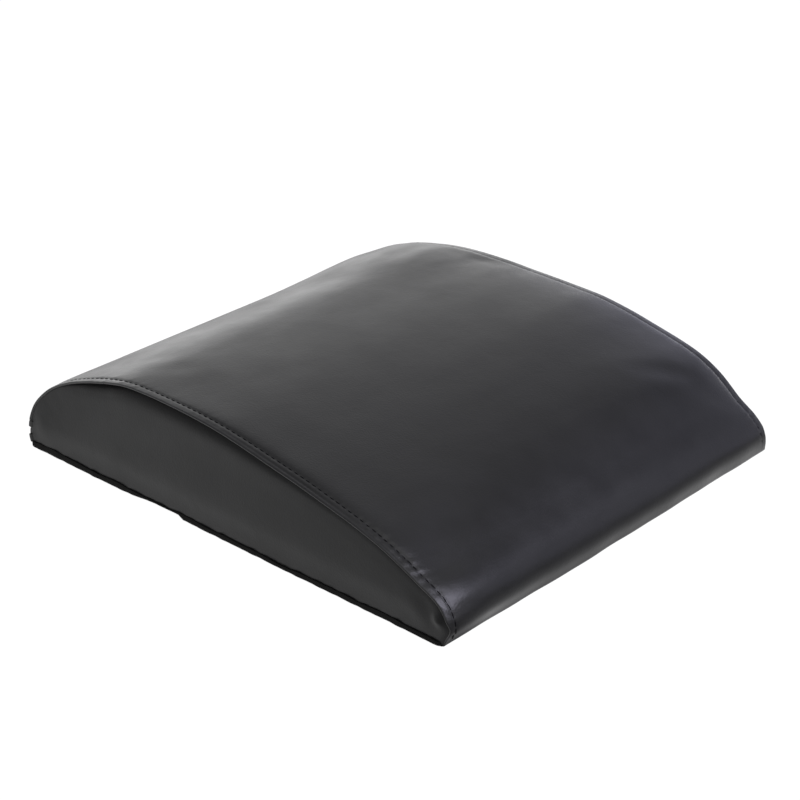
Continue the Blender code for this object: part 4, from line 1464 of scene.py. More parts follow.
@dataclass
class FoamWedge:
    """The moulded foam core that fills the cover."""

    form: PadForm
    half: float = 0.1502
    clearance: float = 0.0005
    columns: int = 48
    rows: int = 150

    def depth(self, x: np.ndarray, along: np.ndarray) -> np.ndarray:
        """How far the foam lies under the cover's face, with room for what is sewn in."""
        form = self.form
        inward = form.half - np.abs(x)
        depth = 0.0012 + self.clearance + 0.0016 * ease((0.020 - inward) / 0.010)
        depth = depth + 0.0060 * ease((0.0085 - inward) / 0.0050) ** 2
        from_zip = np.abs(along - form.zip_middle)
        depth = np.maximum(depth, 0.0024 * ease((0.020 - from_zip) / 0.004))
        recess = 0.0040 * ease((form.zip_slot / 2 + 0.0022 - from_zip) / 0.0015)
        depth = np.maximum(depth, recess)
        foot = np.maximum(ease((0.006 - along) / 0.003), ease((along - 0.4105) / 0.003))
        return depth + 0.0012 * foot

    def build(self) -> bpy.types.Object:
        """Makes the wedge as rings across the pad, closed by a rounded end on each side."""
        form = self.form
        low = form.outline.at_height(0.0022, rear=False)
        high = form.outline.at_height(0.0022, rear=True)
        along = np.linspace(low, high, self.rows)
        share = np.sin(np.linspace(-math.pi / 2, math.pi / 2, self.columns))
        x = self.half * share
        upper = form.face(x[:, None], along[None, :], self.depth(x[:, None], along[None, :]))
        rings = close_under(upper, 60)
        ends = []
        for ring, sign in ((rings[0], -1), (rings[-1], 1)):
            middle = ring.mean(0)
            caps = []
            for part, bulge in ((0.06, 0.0003), (0.2, 0.0008), (0.5, 0.0012), (0.97, 0.0014)):
                cap = ring + (middle - ring) * part
                cap[:, 0] = ring[:, 0] + sign * bulge
                caps.append(cap)
            ends.append(caps)
        rings = np.concatenate([np.array(ends[0][::-1]), rings, np.array(ends[1])])
        return capped_rings("foam_wedge", rings)

    def dress(self, piece: bpy.types.Object) -> None:
        """Foam, on the pad, in place of the CAD core."""
        dress(piece, FOAM)
        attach(piece, "pad")
        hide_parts("foam_core")


@dataclass
class GripBase:
    """The non-slip base: a woven sheet with its edge turned up, and soft dots under it."""

    form: PadForm
    half_width: float = 0.1552
    front: float = -0.1768
    rear: float = 0.1728
    corner: float = 0.0030
    sheet_height: float = 0.0005
    rim_height: float = 0.0030
    thickness: float = 0.0012
    dot_pitch: float = 0.0085
    dot_radius: float = 0.0014
    dot_margin: float = 0.008
    # Rows of dots stand closer than the dots in a row, as in a honeycomb
    row_share: float = 0.866
    inset_reach: float = 0.004
    points_round: int = 900

    def loop(self, inset: float) -> np.ndarray:
        """A round-cornered rectangle (x, y), so far inside the base's edge."""
        radius = max(self.corner - inset, 0.0004)
        half = self.half_width - inset - radius
        low, high = self.front + inset + radius, self.rear - inset - radius
        corners = ((half, high, 0), (-half, high, 1), (-half, low, 2), (half, low, 3))
        outline = []
        for x, y, quarter in corners:
            for step in range(9):
                angle = math.pi / 2 * (quarter + step / 8)
                outline.append((x + radius * math.cos(angle), y + radius * math.sin(angle)))
        outline.append(outline[0])
        outline = np.array(outline)
        places = np.concatenate([[0.0], np.cumsum(np.hypot(*np.diff(outline, axis=0).T))])
        wanted = np.linspace(0.0, places[-1], self.points_round, endpoint=False)
        return np.column_stack([np.interp(wanted, places, c) for c in outline.T])

    def ring(self, inset: np.ndarray | float, height: np.ndarray | float) -> np.ndarray:
        """A loop at this height, drawn in unevenly."""
        loop = self.loop(0.0)
        inner = self.loop(self.inset_reach)
        share = np.broadcast_to(np.asarray(inset) / self.inset_reach, (len(loop),))[:, None]
        flat = loop + (inner - loop) * share
        flat[:, 1] += self.form.foot_shift(flat[:, 0], flat[:, 1], np.zeros(len(flat)))
        return np.column_stack([flat, np.broadcast_to(height, (len(loop),))])

    def shrunk(self, ring: np.ndarray, share: float) -> np.ndarray:
        """A ring drawn in to this share of its size, round the base's middle."""
        inner = ring.copy()
        centre = np.array([0.0, (self.front + self.rear) / 2])
        inner[:, :2] = centre + (inner[:, :2] - centre) * share
        return inner

    def build_sheet(self) -> bpy.types.Object:
        """The sheet with its turned-up edge of wavering height: the dark rim is partly the fabric and
        partly painted shade under the cover's edge.
        """
        loop = self.loop(0.0)
        at_side = ease((np.abs(loop[:, 0]) - self.half_width + 0.0012) / 0.0010)
        at_front = ease((self.front + 0.0012 - loop[:, 1]) / 0.0010)
        # Each wave closes on itself, so the loop has no step where it ends
        turn = np.linspace(0.0, 2 * math.pi, self.points_round, endpoint=False)
        slow = np.sin(9 * turn + 0.7) + 0.7 * np.sin(23 * turn + 2.1) + 0.5 * np.sin(41 * turn)
        quick = np.sin(67 * turn + 1.3) + 0.8 * np.sin(103 * turn + 0.2) + 0.6 * np.sin(149 * turn)
        # The rim's wavering height shapes the dark line at the foot, which is partly painted shade
        # under the cover's edge
        rim = self.rim_height - 0.0001 + at_side * (0.0005 + 0.00035 * slow + 0.00012 * quick)
        rim = rim - 0.0019 * at_front
        left = loop[:, 0] < -0.15
        rim = rim + at_side * left * (0.0003 + 0.0010 * ease((loop[:, 1] - 0.03) / 0.08))
        out = 0.00015 + 0.00010 * at_side * (slow - quick)
        # In front the cover hangs over it in the middle and leaves it in view near the corners, where
        # its dark edge is partly painted shade
        out = out + at_front * 0.0009 * ease((0.085 - np.abs(loop[:, 0])) / 0.040)
        # Near the crest on the left the sheet's lower edge is raised and its dark rim stands higher:
        # partly painted shade
        lifted = ease((loop[:, 1] - 0.029) / 0.004) * ease((0.085 - loop[:, 1]) / 0.035)
        lifted = 0.0022 * lifted * left
        bottom, wall = self.sheet_height, self.thickness
        deeper = 0.0013 * at_front
        rings = [
            self.ring(0.0022 + deeper, bottom + wall),
            self.ring(0.0013 + deeper, np.minimum(rim - 0.0003, 0.0028)),
            self.ring(0.0009 + deeper, np.minimum(rim - 0.0002, 0.0029)),
            self.ring(out + 0.00055, rim - 0.0001),
            self.ring(out + 0.00035, rim),
            self.ring(out + 0.00010, rim - 0.0001),
            self.ring(out, rim - 0.0004),
            self.ring(out * 0.6, 0.45 * rim + 0.5 * lifted),
            self.ring(out * 0.8, 0.28 * rim + 0.8 * lifted),
            self.ring(out + 0.0003, 0.0004 + lifted),
            self.ring(out + 0.0009, 0.0001 + lifted),
            self.ring(0.0022, bottom * 0.5 + 0.6 * lifted),
            self.ring(0.0040, bottom),
        ]
        shares = (0.01, 0.2, 0.45, 0.7, 0.9)
        above = [self.shrunk(rings[0], share) for share in shares]
        under = [self.shrunk(rings[-1], share) for share in (0.97, *shares[::-1])]
        return capped_rings("base_sheet", np.array(above + rings + under))

    def build_dots(self) -> bpy.types.Object:
        """Rows of dots under the sheet, each row shifted by half a pitch."""
        spots = []
        rows = int((self.rear - self.front - 2 * self.dot_margin) / (self.dot_pitch * self.row_share))
        for row in range(rows + 1):
            y = self.front + self.dot_margin + row * self.dot_pitch * self.row_share
            shift = self.dot_pitch / 2 if row % 2 else 0.0
            count = int((self.half_width - self.dot_margin - shift) / self.dot_pitch)
            for column in range(-count - (1 if shift else 0), count + 1):
                spots.append((column * self.dot_pitch + shift, y, self.sheet_height))
        return grow(
            "base_grip_dots",
            np.array(spots),
            [],
            dot_tree(),
            {"Radius": self.dot_radius, "Height": self.sheet_height, "Material": GRIP_PVC.material()},
        )

    def dress(self, sheet: bpy.types.Object, dots: bpy.types.Object) -> None:
        """Fabric and soft dots, on the pad, in place of the CAD base."""
        dress(sheet, BASE_CLOTH)
        for piece in (sheet, dots):
            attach(piece, "pad")
        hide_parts("base_panel")


@dataclass
class Topstitching:
    """Rows of stitches in black polyester thread."""

    form: PadForm
    pitch: float = 0.0046
    stitch: float = 0.0042
    radius: float = 0.00030
    arch: float = 0.00036
    inset: float = 0.0070
    zip_inset: float = 0.0030
    zip_side_inset: float = 0.0130

    def row(self, name: str, x: np.ndarray, along: np.ndarray, pull: float = 0.0) -> bpy.types.Object:
        """Stitches along a line on the cover.

        Args:
            name: The row's name.
            x: Places across the pad.
            along: Places along the outline.
            pull: How hard the thread is drawn into the leather, from nought to one.

        Returns:
            The stitches.
        """
        points = self.form.face(x, along, (pull - 0.5) * self.radius)
        normals = self.form.outline.normal(along)
        outward = np.column_stack([np.zeros(len(along)), normals])
        edges = [(i, i + 1) for i in range(len(points) - 1)]
        values = {
            "Pitch": self.pitch,
            "Stitch length": self.stitch,
            "Thread radius": self.radius * (1.0 - 0.25 * pull),
            "Arch": self.arch * (1.0 - 0.40 * pull),
            "Unevenness": 0.05,
            "Material": THREAD.material(),
        }
        return grow(name, points, edges, stitch_tree(), values, outward)

    def build(self) -> dict[str, bpy.types.Object]:
        """Makes both seams' rows and both rows beside the zip.

        Returns:
            Each row by the CAD node that it stands for.
        """
        form = self.form
        made = {}
        along = np.arange(form.front_edge + self.inset, form.zip_top_edge - self.inset, 0.0006)
        for side in Side:
            x = np.full(len(along), side.value * (form.half - form.band[side]))
            name = side.name.lower()
            pull = 1.0 if side is Side.RIGHT else 0.0
            made[f"{name}_topstitch"] = self.row(f"{name}_seam_stitches", x, along, pull)
        reach = form.half - self.zip_side_inset
        x = np.arange(-reach, reach, 0.001)
        for name, place in (
            ("upper", form.zip_top_edge - self.zip_inset), ("lower", form.zip_low_edge + self.zip_inset)
        ):
            row = self.row(f"zip_{name}_stitches", x, np.full(len(x), place))
            made[f"zip_{name}_topstitch"] = row
        return made

    def dress(self, rows: dict[str, bpy.types.Object]) -> None:
        """Thread, on the pad, in place of the CAD rows."""
        for node, row in rows.items():
            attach(row, "pad")
            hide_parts(node)


# Zip


def flat_plate(name: str, loops: Sequence[np.ndarray], thickness: float, edge: float) -> bpy.types.Mesh:
    """A plate with rounded edges, in the XY plane, with its middle at nought.

    Args:
        name: The mesh's name.
        loops: Its outline, then its holes, as points (x, y).
        thickness: Full thickness.
        edge: Radius of its rounded edges.

    Returns:
        The mesh.
    """
    curve = bpy.data.curves.new(name, "CURVE")
    curve.dimensions = "2D"
    curve.fill_mode = "BOTH"
    curve.extrude = thickness / 2 - edge
    curve.bevel_depth = edge
    curve.bevel_resolution = 2
    curve.offset = -edge
    for loop in loops:
        spline = curve.splines.new("POLY")
        spline.points.add(len(loop) - 1)
        for point, (x, y) in zip(spline.points, loop):
            point.co = (x, y, 0.0, 1.0)
        spline.use_cyclic_u = True
    holder = link_object(name, curve)
    evaluated = holder.evaluated_get(bpy.context.evaluated_depsgraph_get())
    data = bpy.data.meshes.new_from_object(evaluated)
    bpy.data.objects.remove(holder)
    return data


def tube(points: np.ndarray, radius: float, sides: int = 10) -> bpy.types.Mesh:
    """A round bar with closed ends, along a line in the XZ plane."""
    mesh = bmesh.new()
    ways = np.gradient(points, axis=0)
    ways /= np.linalg.norm(ways, axis=1)[:, None]
    across = np.array([0.0, 1.0, 0.0])
    loops = []
    for point, way in zip(points, ways):
        out = np.cross(way, across)
        ring = []
        for side in range(sides):
            angle = 2 * math.pi * side / sides
            off = across * math.cos(angle) + out * math.sin(angle)
            ring.append(mesh.verts.new(point + radius * off))
        loops.append(ring)
    for before, after in zip(loops, loops[1:]):
        for index in range(sides):
            other = (index + 1) % sides
            mesh.faces.new((before[index], before[other], after[other], after[index]))
    mesh.faces.new(loops[0])
    mesh.faces.new(loops[-1][::-1])
    data = bpy.data.meshes.new("tube")
    mesh.to_mesh(data)
    mesh.free()
    return data


def join_parts(name: str, parts: Sequence[tuple[bpy.types.Mesh, tuple]]) -> bpy.types.Mesh:
    """Joins metal parts, each moved by its own shift, into one mesh with crisp edges."""
    whole = bmesh.new()
    for data, shift in parts:
        data.transform(Matrix.Translation(Vector(shift)))
        whole.from_mesh(data)
        bpy.data.meshes.remove(data)
    bmesh.ops.remove_doubles(whole, verts=whole.verts, dist=1e-7)
    bmesh.ops.recalc_face_normals(whole, faces=whole.faces)
    data = bpy.data.meshes.new(name)
    whole.to_mesh(data)
    whole.free()
    data.shade_smooth()
    data.set_sharp_from_angle(angle=math.radians(CRISP_ANGLE))
    return data


def rounded_loop(half_x: float, half_y: float, radius: float, centre: float = 0.0) -> np.ndarray:
    """A rectangle with rounded corners, as points (x, y)."""
    corners = ((1, 1, 0), (-1, 1, 1), (-1, -1, 2), (1, -1, 3))
    loop = []
    for sx, sy, quarter in corners:
        for step in range(6):
            angle = math.pi / 2 * (quarter + step / 5)
            x = centre + sx * (half_x - radius) + radius * math.cos(angle)
            loop.append((x, sy * (half_y - radius) + radius * math.sin(angle)))
    return np.array(loop)


@dataclass
class Zip:
    """The zip in the rear wall: tapes, coils, stops, slider and pull tab.

    Its own places are (x towards the open end, y up the wall, z out of the wall).
    """

    form: PadForm
    origin: tuple[float, float, float] = (0.0, 0.173037, 0.014155)
    up: tuple[float, float, float] = (0.0, -0.145271, 0.989392)
    out: tuple[float, float, float] = (0.0, 0.989392, 0.145271)
    tape_reach: float = 0.1453
    tape_width: float = 0.0130
    tape_depth: float = 0.0015
    tape_thickness: float = 0.0005
    split: float = 0.0014
    coil_length: float = 0.2760
    coil_pitch: float = 0.0013
    coil_width: float = 0.0026
    coil_low: float = -0.0012
    coil_high: float = 0.0006
    wire_radius: float = 0.00030
    stop_length: float = 0.0025
    stop_width: float = 0.0030
    slider_x: float = -0.1320
    slider_length: float = 0.0120
    slider_width: float = 0.0094
    under_width: float = 0.0084
    guide_low: float = -0.0012
    bail_half: float = 0.0023
    bail_rise: float = 0.00185
    bail_radius: float = 0.00055
    plate: float = 0.0011
    plate_low: float = 0.0009
    under_top: float = -0.0023
    tab_length: float = 0.0240
    tab_width: float = 0.0070
    tab_thickness: float = 0.0011
    tab_level: float = 0.0029
    bar: float = 0.0012
    hole_radius: float = 0.0016
    ridges: int = 4
    ridge_pitch: float = 0.0019

    def matrix(self) -> Matrix:
        """From the zip's own places to the pad's."""
        axes = Matrix((Vector((-1.0, 0.0, 0.0)), Vector(self.up), Vector(self.out))).transposed()
        return Matrix.Translation(Vector(self.origin)) @ axes.to_4x4()

    def place_mesh(self, data: bpy.types.Mesh, shift: tuple = (0.0, 0.0, 0.0)) -> None:
        """Moves a mesh from the zip's own places to the pad's."""
        data.transform(self.matrix() @ Matrix.Translation(Vector(shift)))

    def build_tape(self, name: str, inner: float, outer: float) -> bpy.types.Object:
        """One woven tape, with a thicker cord at its outer edge."""
        x = np.linspace(-self.tape_reach, self.tape_reach, 180)
        along = np.linspace(inner, outer, 16)
        wave = 0.00006 * np.sin(x / 0.0031)[:, None] * np.sin(along / 0.004)[None, :]
        grids = []
        for depth in (self.tape_depth, self.tape_depth + self.tape_thickness):
            spot = self.form.outline.point(along)
            way = self.form.outline.normal(along)
            level = (-depth + wave)[..., None]
            flat = spot[None] + way[None] * level
            xs = np.broadcast_to(x[:, None], wave.shape)
            grids.append(np.stack([xs, flat[..., 0] + self.form.centre_y, flat[..., 1]], -1))
        return mesh_object(name, *closed_sheet(*grids))

    def build_coil(self, name: str, side: int) -> bpy.types.Object:
        """One half of the chain."""
        turns = round(self.coil_length / self.coil_pitch)
        piece = grow(
            name,
            np.zeros((1, 3)),
            [],
            coil_tree(),
            {
                "Length": self.coil_length - 2 * self.wire_radius,
                "Turns": float(turns),
                "Half width": self.coil_width / 2 - self.wire_radius,
                "Half thickness": (self.coil_high - self.coil_low) / 2 - self.wire_radius,
                "Wire radius": self.wire_radius,
                "Material": NYLON.material(),
            },
        )
        middle = side * (self.split / 2 + self.coil_width / 2)
        level = (self.coil_high + self.coil_low) / 2
        start = -self.coil_length / 2 + self.wire_radius
        self.place_mesh(piece.data, (start, middle, level))
        return piece

    def build_stop(self, name: str, end: int, low: float, high: float) -> bpy.types.Object:
        """A metal staple pressed over the tape's edge.

        Args:
            name: The stop's name.
            end: Which end of the chain it is on, -1 or 1.
            low: Its lower edge, across the tapes.
            high: Its upper edge.

        Returns:
            The stop.
        """
        near = self.coil_length / 2 + 0.0003
        data = flat_plate(
            name, [rounded_loop(self.stop_length / 2, (high - low) / 2, 0.0006)], 0.0020, 0.0003
        )
        middle = (end * (near + self.stop_length / 2), (low + high) / 2, self.coil_low + 0.0010)
        self.place_mesh(data, middle)
        data.name = name
        data.shade_smooth()
        return link_object(name, data)

    def slider_loop(self, width: float) -> np.ndarray:
        """The slider seen from outside: wide at its shoulders, narrow at its tail."""
        shares = ((-1.0, 0.55), (-0.82, 0.80), (-0.10, 0.88), (0.45, 1.0), (0.80, 0.86), (1.0, 0.40))
        nose, half = self.slider_length / 2, width / 2
        upper = hermite_line(np.array([(a * nose, b * half) for a, b in shares]), 5)
        return np.concatenate([upper, upper[::-1] * (1, -1)])

    def build_slider(self) -> bpy.types.Object:
        """Two plates round the chain, joined by a post, with guides and a bail for the tab."""
        low, high = self.guide_low, self.plate_low + 0.0004
        tall = self.plate_low - self.under_top + 0.0008
        post = (self.slider_length / 2 - 0.0030, 0, (self.plate_low + self.under_top) / 2)
        foot, below = self.plate_low + self.plate / 2, self.under_top - self.plate / 2
        # Outline, thickness, edge radius and middle of both plates, of the post between them,
        # of the guides at their sides and of the raised pad under the bail
        plates = [
            (self.slider_loop(self.slider_width), self.plate, 0.00035, (0, 0, foot)),
            (self.slider_loop(self.under_width), self.plate, 0.0003, (0, 0, below)),
            (rounded_loop(0.0015, 0.0004, 0.0003), tall, 0.0001, post),
        ]
        for side in (-1, 1):
            y = side * (self.slider_width / 2 * 0.90 - 0.00035)
            guide = rounded_loop(0.0030, 0.00035, 0.00025)
            plates.append((guide, high - low, 0.00015, (0, y, (low + high) / 2)))
        boss = rounded_loop(0.0036, 0.0016, 0.0010)
        plates.append((boss, 0.0006, 0.00025, (0, 0, self.plate_low + self.plate)))
        parts = [(flat_plate("plate", [loop], *size), middle) for loop, *size, middle in plates]
        half = self.bail_half
        angles = np.linspace(math.pi, 0.0, 17)
        rise = self.tab_level + self.bail_rise * np.sin(angles)
        arch = np.column_stack([half * np.cos(angles), np.zeros(17), rise])
        neck = self.tab_level - 0.0004
        first = np.array([[-half, 0.0, foot], [-half, 0.0, neck]])
        last = np.array([[half, 0.0, neck], [half, 0.0, foot]])
        parts.append((tube(np.concatenate([first, arch, last]), self.bail_radius), (0, 0, 0)))
        data = join_parts("zip_slider_body", parts)
        self.place_mesh(data, (self.slider_x, 0.0, 0.0))
        return link_object("zip_slider_body", data)

    def build_tab(self) -> bpy.types.Object:
        """The flat tab with a slot for the bail, a hole and grip ridges."""
        half = self.tab_width / 2
        start = -self.bar / 2
        round_middle = start + self.tab_length - half
        outline = [(start, -half * 0.72), (start + half, -half)]
        for angle in np.linspace(-math.pi / 2, math.pi / 2, 17):
            outline.append((round_middle + half * math.cos(angle), half * math.sin(angle)))
        outline += [(start + half, half), (start, half * 0.72)]
        slot = rounded_loop(0.0016, 0.0013, 0.0004, self.bar / 2 + 0.0016)
        turn = np.linspace(0.0, 2 * math.pi, 20, endpoint=False)
        hole_x = start + self.tab_length - 0.0036
        radius = self.hole_radius
        hole = np.column_stack([hole_x + radius * np.cos(turn), radius * np.sin(turn)])
        loops = [np.array(outline), slot[::-1], hole[::-1]]
        parts = [(flat_plate("tab", loops, self.tab_thickness - 0.0003, 0.00025), (0.0, 0.0, 0.0))]
        for step in range(self.ridges):
            x = start + 0.0085 + step * self.ridge_pitch
            ridge = rounded_loop(0.00045, half * 0.62, 0.0004)
            parts.append((flat_plate("ridge", [ridge], self.tab_thickness, 0.0002), (x, 0.0, 0.0)))
        data = join_parts("zip_pull", parts)
        self.place_mesh(data, (self.slider_x, 0.0, self.tab_level))
        return link_object("zip_pull", data)

    def build(self) -> dict[str, bpy.types.Object]:
        """Makes the whole zip.

        Returns:
            Each piece by the CAD node that it stands for.
        """
        form = self.form
        half_split = self.split / 2
        middle = form.zip_middle
        high_edge = middle - self.tape_width
        low_edge = min(middle + self.tape_width, form.rear_edge - 0.0003)
        far = half_split + self.stop_width
        return {
            "zip_upper_tape": self.build_tape("zip_tape_upper", middle - half_split, high_edge),
            "zip_lower_tape": self.build_tape("zip_tape_lower", middle + half_split, low_edge),
            "zip_upper_coil": self.build_coil("zip_coil_upper", 1),
            "zip_lower_coil": self.build_coil("zip_coil_lower", -1),
            "zip_end_stop": self.build_stop("zip_stop_end", 1, -far, far),
            "zip_upper_top_stop": self.build_stop("zip_stop_upper", -1, half_split, far),
            "zip_lower_top_stop": self.build_stop("zip_stop_lower", -1, -far, -half_split),
            "zip_slider": self.build_slider(),
            "zip_pull_tab": self.build_tab(),
        }

    def dress(self, pieces: dict[str, bpy.types.Object]) -> None:
        """Finishes and bodies of the zip's pieces."""
        for node, piece in pieces.items():
            if "tape" in node:
                finish, body, slot = TAPE_CLOTH, "pad", "zip_tape"
            elif "coil" in node:
                finish, body, slot = NYLON, "pad", "zip_coil"
            elif "stop" in node:
                finish, body, slot = ZINC, "pad", "zip_stop"
            else:
                body = "slider" if node == "zip_slider" else "pull_tab"
                finish, slot = ZINC, "zip_slider"
            dress(piece, finish)
            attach(piece, body)
            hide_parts(node)


# Studio


# How bright the leather's gloss sees the floor: along each way, between its start and its stop
# in metres, the level at shares of that stretch. All five levels are multiplied. They are fitted
# so that the leather mirrors what it does in the photograph, and measure no real floor.
FLOOR_GLOW = (
    (
        (-0.035, -1.0, 0.0),
        0.17,
        0.27,
        ((0.04, 1.6), (0.095, 0.80), (0.20, 0.48), (0.45, 0.30), (0.9, 0.12)),
    ),
    ((0.0, 1.0, 0.0), 0.10, 1.10, ((0.06, 1.0), (0.15, 0.55), (0.30, 0.40), (0.5, 0.65), (1.0, 1.45))),
    ((1.0, 0.0, 0.0), 0.2, 0.6, ((0.3, 1.0), (0.75, 1.35))),
    ((-1.0, 0.3, 0.0), 0.25, 0.33, ((0.0, 1.0), (0.6, 1.6))),
    (
        (-1.0, 0.0, 0.0),
        0.1,
        0.2,
        ((0.15, 1.0), (0.38, 0.45), (0.56, 0.5), (0.60, 0.74), (0.74, 0.46), (0.93, 0.56)),
    ),
)
# How the room is tinted towards each way, from the start to the stop of its share, fitted in the
# same manner: dim in front of the pad and to its left, where no lamp stands, bluish to its right,
# and pale high behind it, which shows in the leather beside the near seam
ROOM_TINTS = (
    ((0.67, -0.74, 0.0), 0.30, 0.60, (0.55, 0.55, 0.55)),
    ((-0.95, 0.30, 0.0), 0.30, 0.60, (0.50, 0.50, 0.50)),
    ((0.98, -0.20, 0.0), 0.66, 0.80, (0.95, 0.95, 1.16)),
    ((0.497, 0.552, 0.669), 0.91, 1.0, (1.60, 1.60, 1.60)),
)
WHITE = (1.0, 1.0, 1.0, 1.0)


@dataclass
class Studio:
    """A pale floor, a white surround, soft lamps and the camera."""

    camera_place: tuple[float, float, float] = (-0.7932, -0.7179, 0.5587)
    azimuth: float = -48.07
    elevation: float = 26.17
    lens: float = 84.87
    floor_reach: float = 14.0
    # A little over white, so that the mix with the painted floor comes out as white
    floor_white: float = 1.07
    floor_share: float = 0.93

    def build_camera(self) -> None:
        """The photograph's viewpoint."""
        turn, rise = math.radians(self.azimuth), math.radians(self.elevation)
        flat = math.cos(rise)
        back = Vector((math.sin(turn) * flat, -math.cos(turn) * flat, math.sin(rise)))
        right = Vector((math.cos(turn), math.sin(turn), 0.0))
        axes = Matrix((right, back.cross(right), back)).transposed().to_4x4()
        data = bpy.data.cameras.new("camera")
        data.lens = self.lens
        data.sensor_width = 36.0
        camera = link_object("camera", data)
        camera.matrix_world = Matrix.Translation(Vector(self.camera_place)) @ axes
        bpy.context.scene.camera = camera

    def seen_directly(self, tree: bpy.types.NodeTree) -> bpy.types.NodeSocket:
        """One for rays from the camera and for those that a gloss or glass sends on."""
        path = add_node(tree, "ShaderNodeLightPath")
        first = add_node(
            tree,
            "ShaderNodeMath",
            {0: path.outputs["Is Camera Ray"], 1: path.outputs["Is Glossy Ray"]},
            operation="MAXIMUM",
        )
        both = add_node(
            tree,
            "ShaderNodeMath",
            {0: first.outputs[0], 1: path.outputs["Is Transmission Ray"]},
            operation="MAXIMUM",
        )
        return both.outputs[0]

    def glow(
        self, tree: bpy.types.NodeTree, place: bpy.types.NodeSocket, way: tuple[float, float, float],
        start: float, stop: float, levels: Sequence[tuple[float, float]],
    ) -> bpy.types.NodeSocket:
        """A level that changes along a way.

        Args:
            tree: The node tree.
            place: Socket with the place.
            way: The way, as (x, y, z).
            start: Distance along it at which the share is nought.
            stop: Distance at which the share is one.
            levels: Rising shares and their levels, with a straight run between them.

        Returns:
            Socket with the level.
        """
        reached = add_node(
            tree, "ShaderNodeVectorMath", {0: place, 1: way}, operation="DOT_PRODUCT"
        ).outputs["Value"]
        values = {"Value": reached, "From Min": start, "From Max": stop}
        share = add_node(tree, "ShaderNodeMapRange", values).outputs[0]
        node = add_node(tree, "ShaderNodeValToRGB", {"Fac": share})
        stops = node.color_ramp.elements
        stops.remove(stops[1])
        stops[0].position = levels[0][0]
        for position, _ in levels[1:]:
            stops.new(position)
        for element, (_, level) in zip(stops, levels):
            element.color = (level, level, level, 1.0)
        return node.outputs["Color"]

    def build_floor(self) -> None:
        """A pale painted floor that shows as white, apart from the pad's shadow."""
        reach = self.floor_reach
        corners = ((-reach, -reach, 0), (reach, -reach, 0), (reach, reach, 0), (-reach, reach, 0))
        floor = mesh_object("floor", np.array(corners), [(0, 1, 2, 3)])
        material, tree, shader = new_material("studio_floor_painted")
        add = functools.partial(add_node, tree)
        values = {"Base Color": linear("#e6e6e4"), "Roughness": 0.9, "Specular IOR Level": 0.1}
        feed(tree, shader, values)
        place = add("ShaderNodeTexCoord").outputs["Object"]
        fade = None
        for way, start, stop, levels in FLOOR_GLOW:
            level = self.glow(tree, place, way, start, stop, levels)
            if fade is not None:
                values = {0: fade, 1: level}
                level = add("ShaderNodeMath", values, operation="MULTIPLY").outputs[0]
            fade = level
        camera = add("ShaderNodeLightPath").outputs["Is Camera Ray"]
        values = {"Factor": camera, "A": fade, "B": self.floor_white}
        level = add("ShaderNodeMix", values).outputs[0]
        glow = add("ShaderNodeEmission", {"Color": WHITE, "Strength": level})
        values = {0: self.seen_directly(tree), 1: self.floor_share}
        share = add("ShaderNodeMath", values, operation="MULTIPLY").outputs[0]
        values = {0: share, 1: shader.outputs[0], 2: glow.outputs[0]}
        mixed = add("ShaderNodeMixShader", values).outputs[0]
        feed(tree, tree.nodes["Material Output"], {"Surface": mixed})
        floor.data.materials.append(material)

    def build_world(self) -> None:
        """A white surround that is brightest round the horizon and grey overhead."""
        world = bpy.data.worlds.new("studio")
        bpy.context.scene.world = world
        world.use_nodes = True
        tree = world.node_tree
        add = functools.partial(add_node, tree)
        back = tree.nodes["Background"]
        way = add("ShaderNodeTexCoord").outputs["Generated"]
        height = add("ShaderNodeSeparateXYZ", {0: way}).outputs["Z"]
        fall = add("ShaderNodeValToRGB", {"Fac": height})
        ramp = fall.color_ramp
        ramp.interpolation = "EASE"
        ramp.elements[0].position = 0.15
        ramp.elements[0].color = WHITE
        ramp.elements[1].position = 0.80
        ramp.elements[1].color = (0.36, 0.36, 0.365, 1.0)
        level = fall.outputs["Color"]
        for side, start, stop, tint in ROOM_TINTS:
            towards = add("ShaderNodeVectorMath", {0: way, 1: side}, operation="DOT_PRODUCT")
            share = add(
                "ShaderNodeMapRange",
                {"Value": towards.outputs["Value"], "From Min": start, "From Max": stop},
                interpolation_type="SMOOTHSTEP",
            )
            shade = add(
                "ShaderNodeMix", {"Factor": share, 4: (1.0, 1.0, 1.0), 5: tint}, data_type="VECTOR"
            )
            level = add(
                "ShaderNodeVectorMath", {0: level, 1: shade.outputs[1]}, operation="MULTIPLY"
            ).outputs[0]
        path = add("ShaderNodeLightPath")
        white = add(
            "ShaderNodeMix",
            {"Factor": path.outputs["Is Camera Ray"], 6: level, 7: WHITE},
            data_type="RGBA",
        )
        feed(tree, back, {"Color": white.outputs[2], "Strength": 1.0})

    def add_softbox(
        self, name: str, place: tuple[float, float, float], size: tuple[float, float], power: float,
        colour: str = "#ffffff",
    ) -> None:
        """A softbox that faces the pad.

        Args:
            name: The lamp's name.
            place: Where it stands.
            size: Its width and height.
            power: Its power in watts.
            colour: Its colour.
        """
        data = bpy.data.lights.new(name, "AREA")
        data.shape = "RECTANGLE"
        data.size, data.size_y = size
        data.energy = power
        data.color = linear(colour)[:3]
        lamp = link_object(name, data)
        lamp.location = place
        way = Vector((0.0, 0.0, 0.03)) - Vector(place)
        lamp.rotation_euler = way.to_track_quat("-Z", "Y").to_euler()
        lamp.visible_camera = False

    def build(self) -> None:
        """Sets up everything that isn't the object."""
        self.build_camera()
        self.build_floor()
        self.build_world()
        self.add_softbox("softbox_overhead", (-0.5, -0.6, 1.9), (1.6, 1.6), 5.0)
        self.add_softbox("softbox_front", (0.30, -1.16, 1.18), (0.75, 1.3), 19.0, "#eceaff")
        self.add_softbox("softbox_behind", (1.1, 1.6, 0.19), (2.0, 0.38), 0.9)
        view = bpy.context.scene.view_settings
        view.view_transform = "Standard"


# Assembly


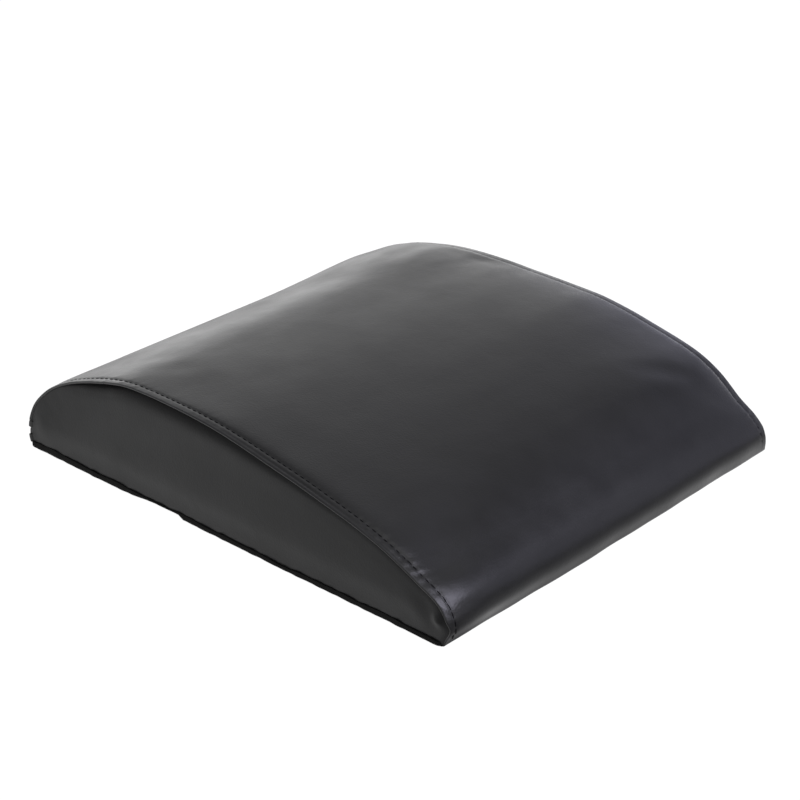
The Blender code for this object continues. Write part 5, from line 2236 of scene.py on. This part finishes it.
def main() -> None:
    """Builds the mat and the studio."""
    logging.basicConfig(level=logging.INFO, format="%(name)s: %(message)s")
    form = PadForm()
    CoverInflation(form).run()
    for maker in (
        TopCover(form), RearStrip(form), ZipEndTab(form, side=Side.LEFT),
        ZipEndTab(form, side=Side.RIGHT), SideCover(form, side=Side.LEFT),
        SideCover(form, side=Side.RIGHT), FoamWedge(form),
    ):
        piece = maker.build()
        maker.dress(piece)
    base = GripBase(form)
    sheet, dots = base.build_sheet(), base.build_dots()
    base.dress(sheet, dots)
    for maker in (Topstitching(form), Zip(form)):
        pieces = maker.build()
        maker.dress(pieces)
        list(pieces.values())
    Studio().build()


if __name__ == "__main__":
    main()
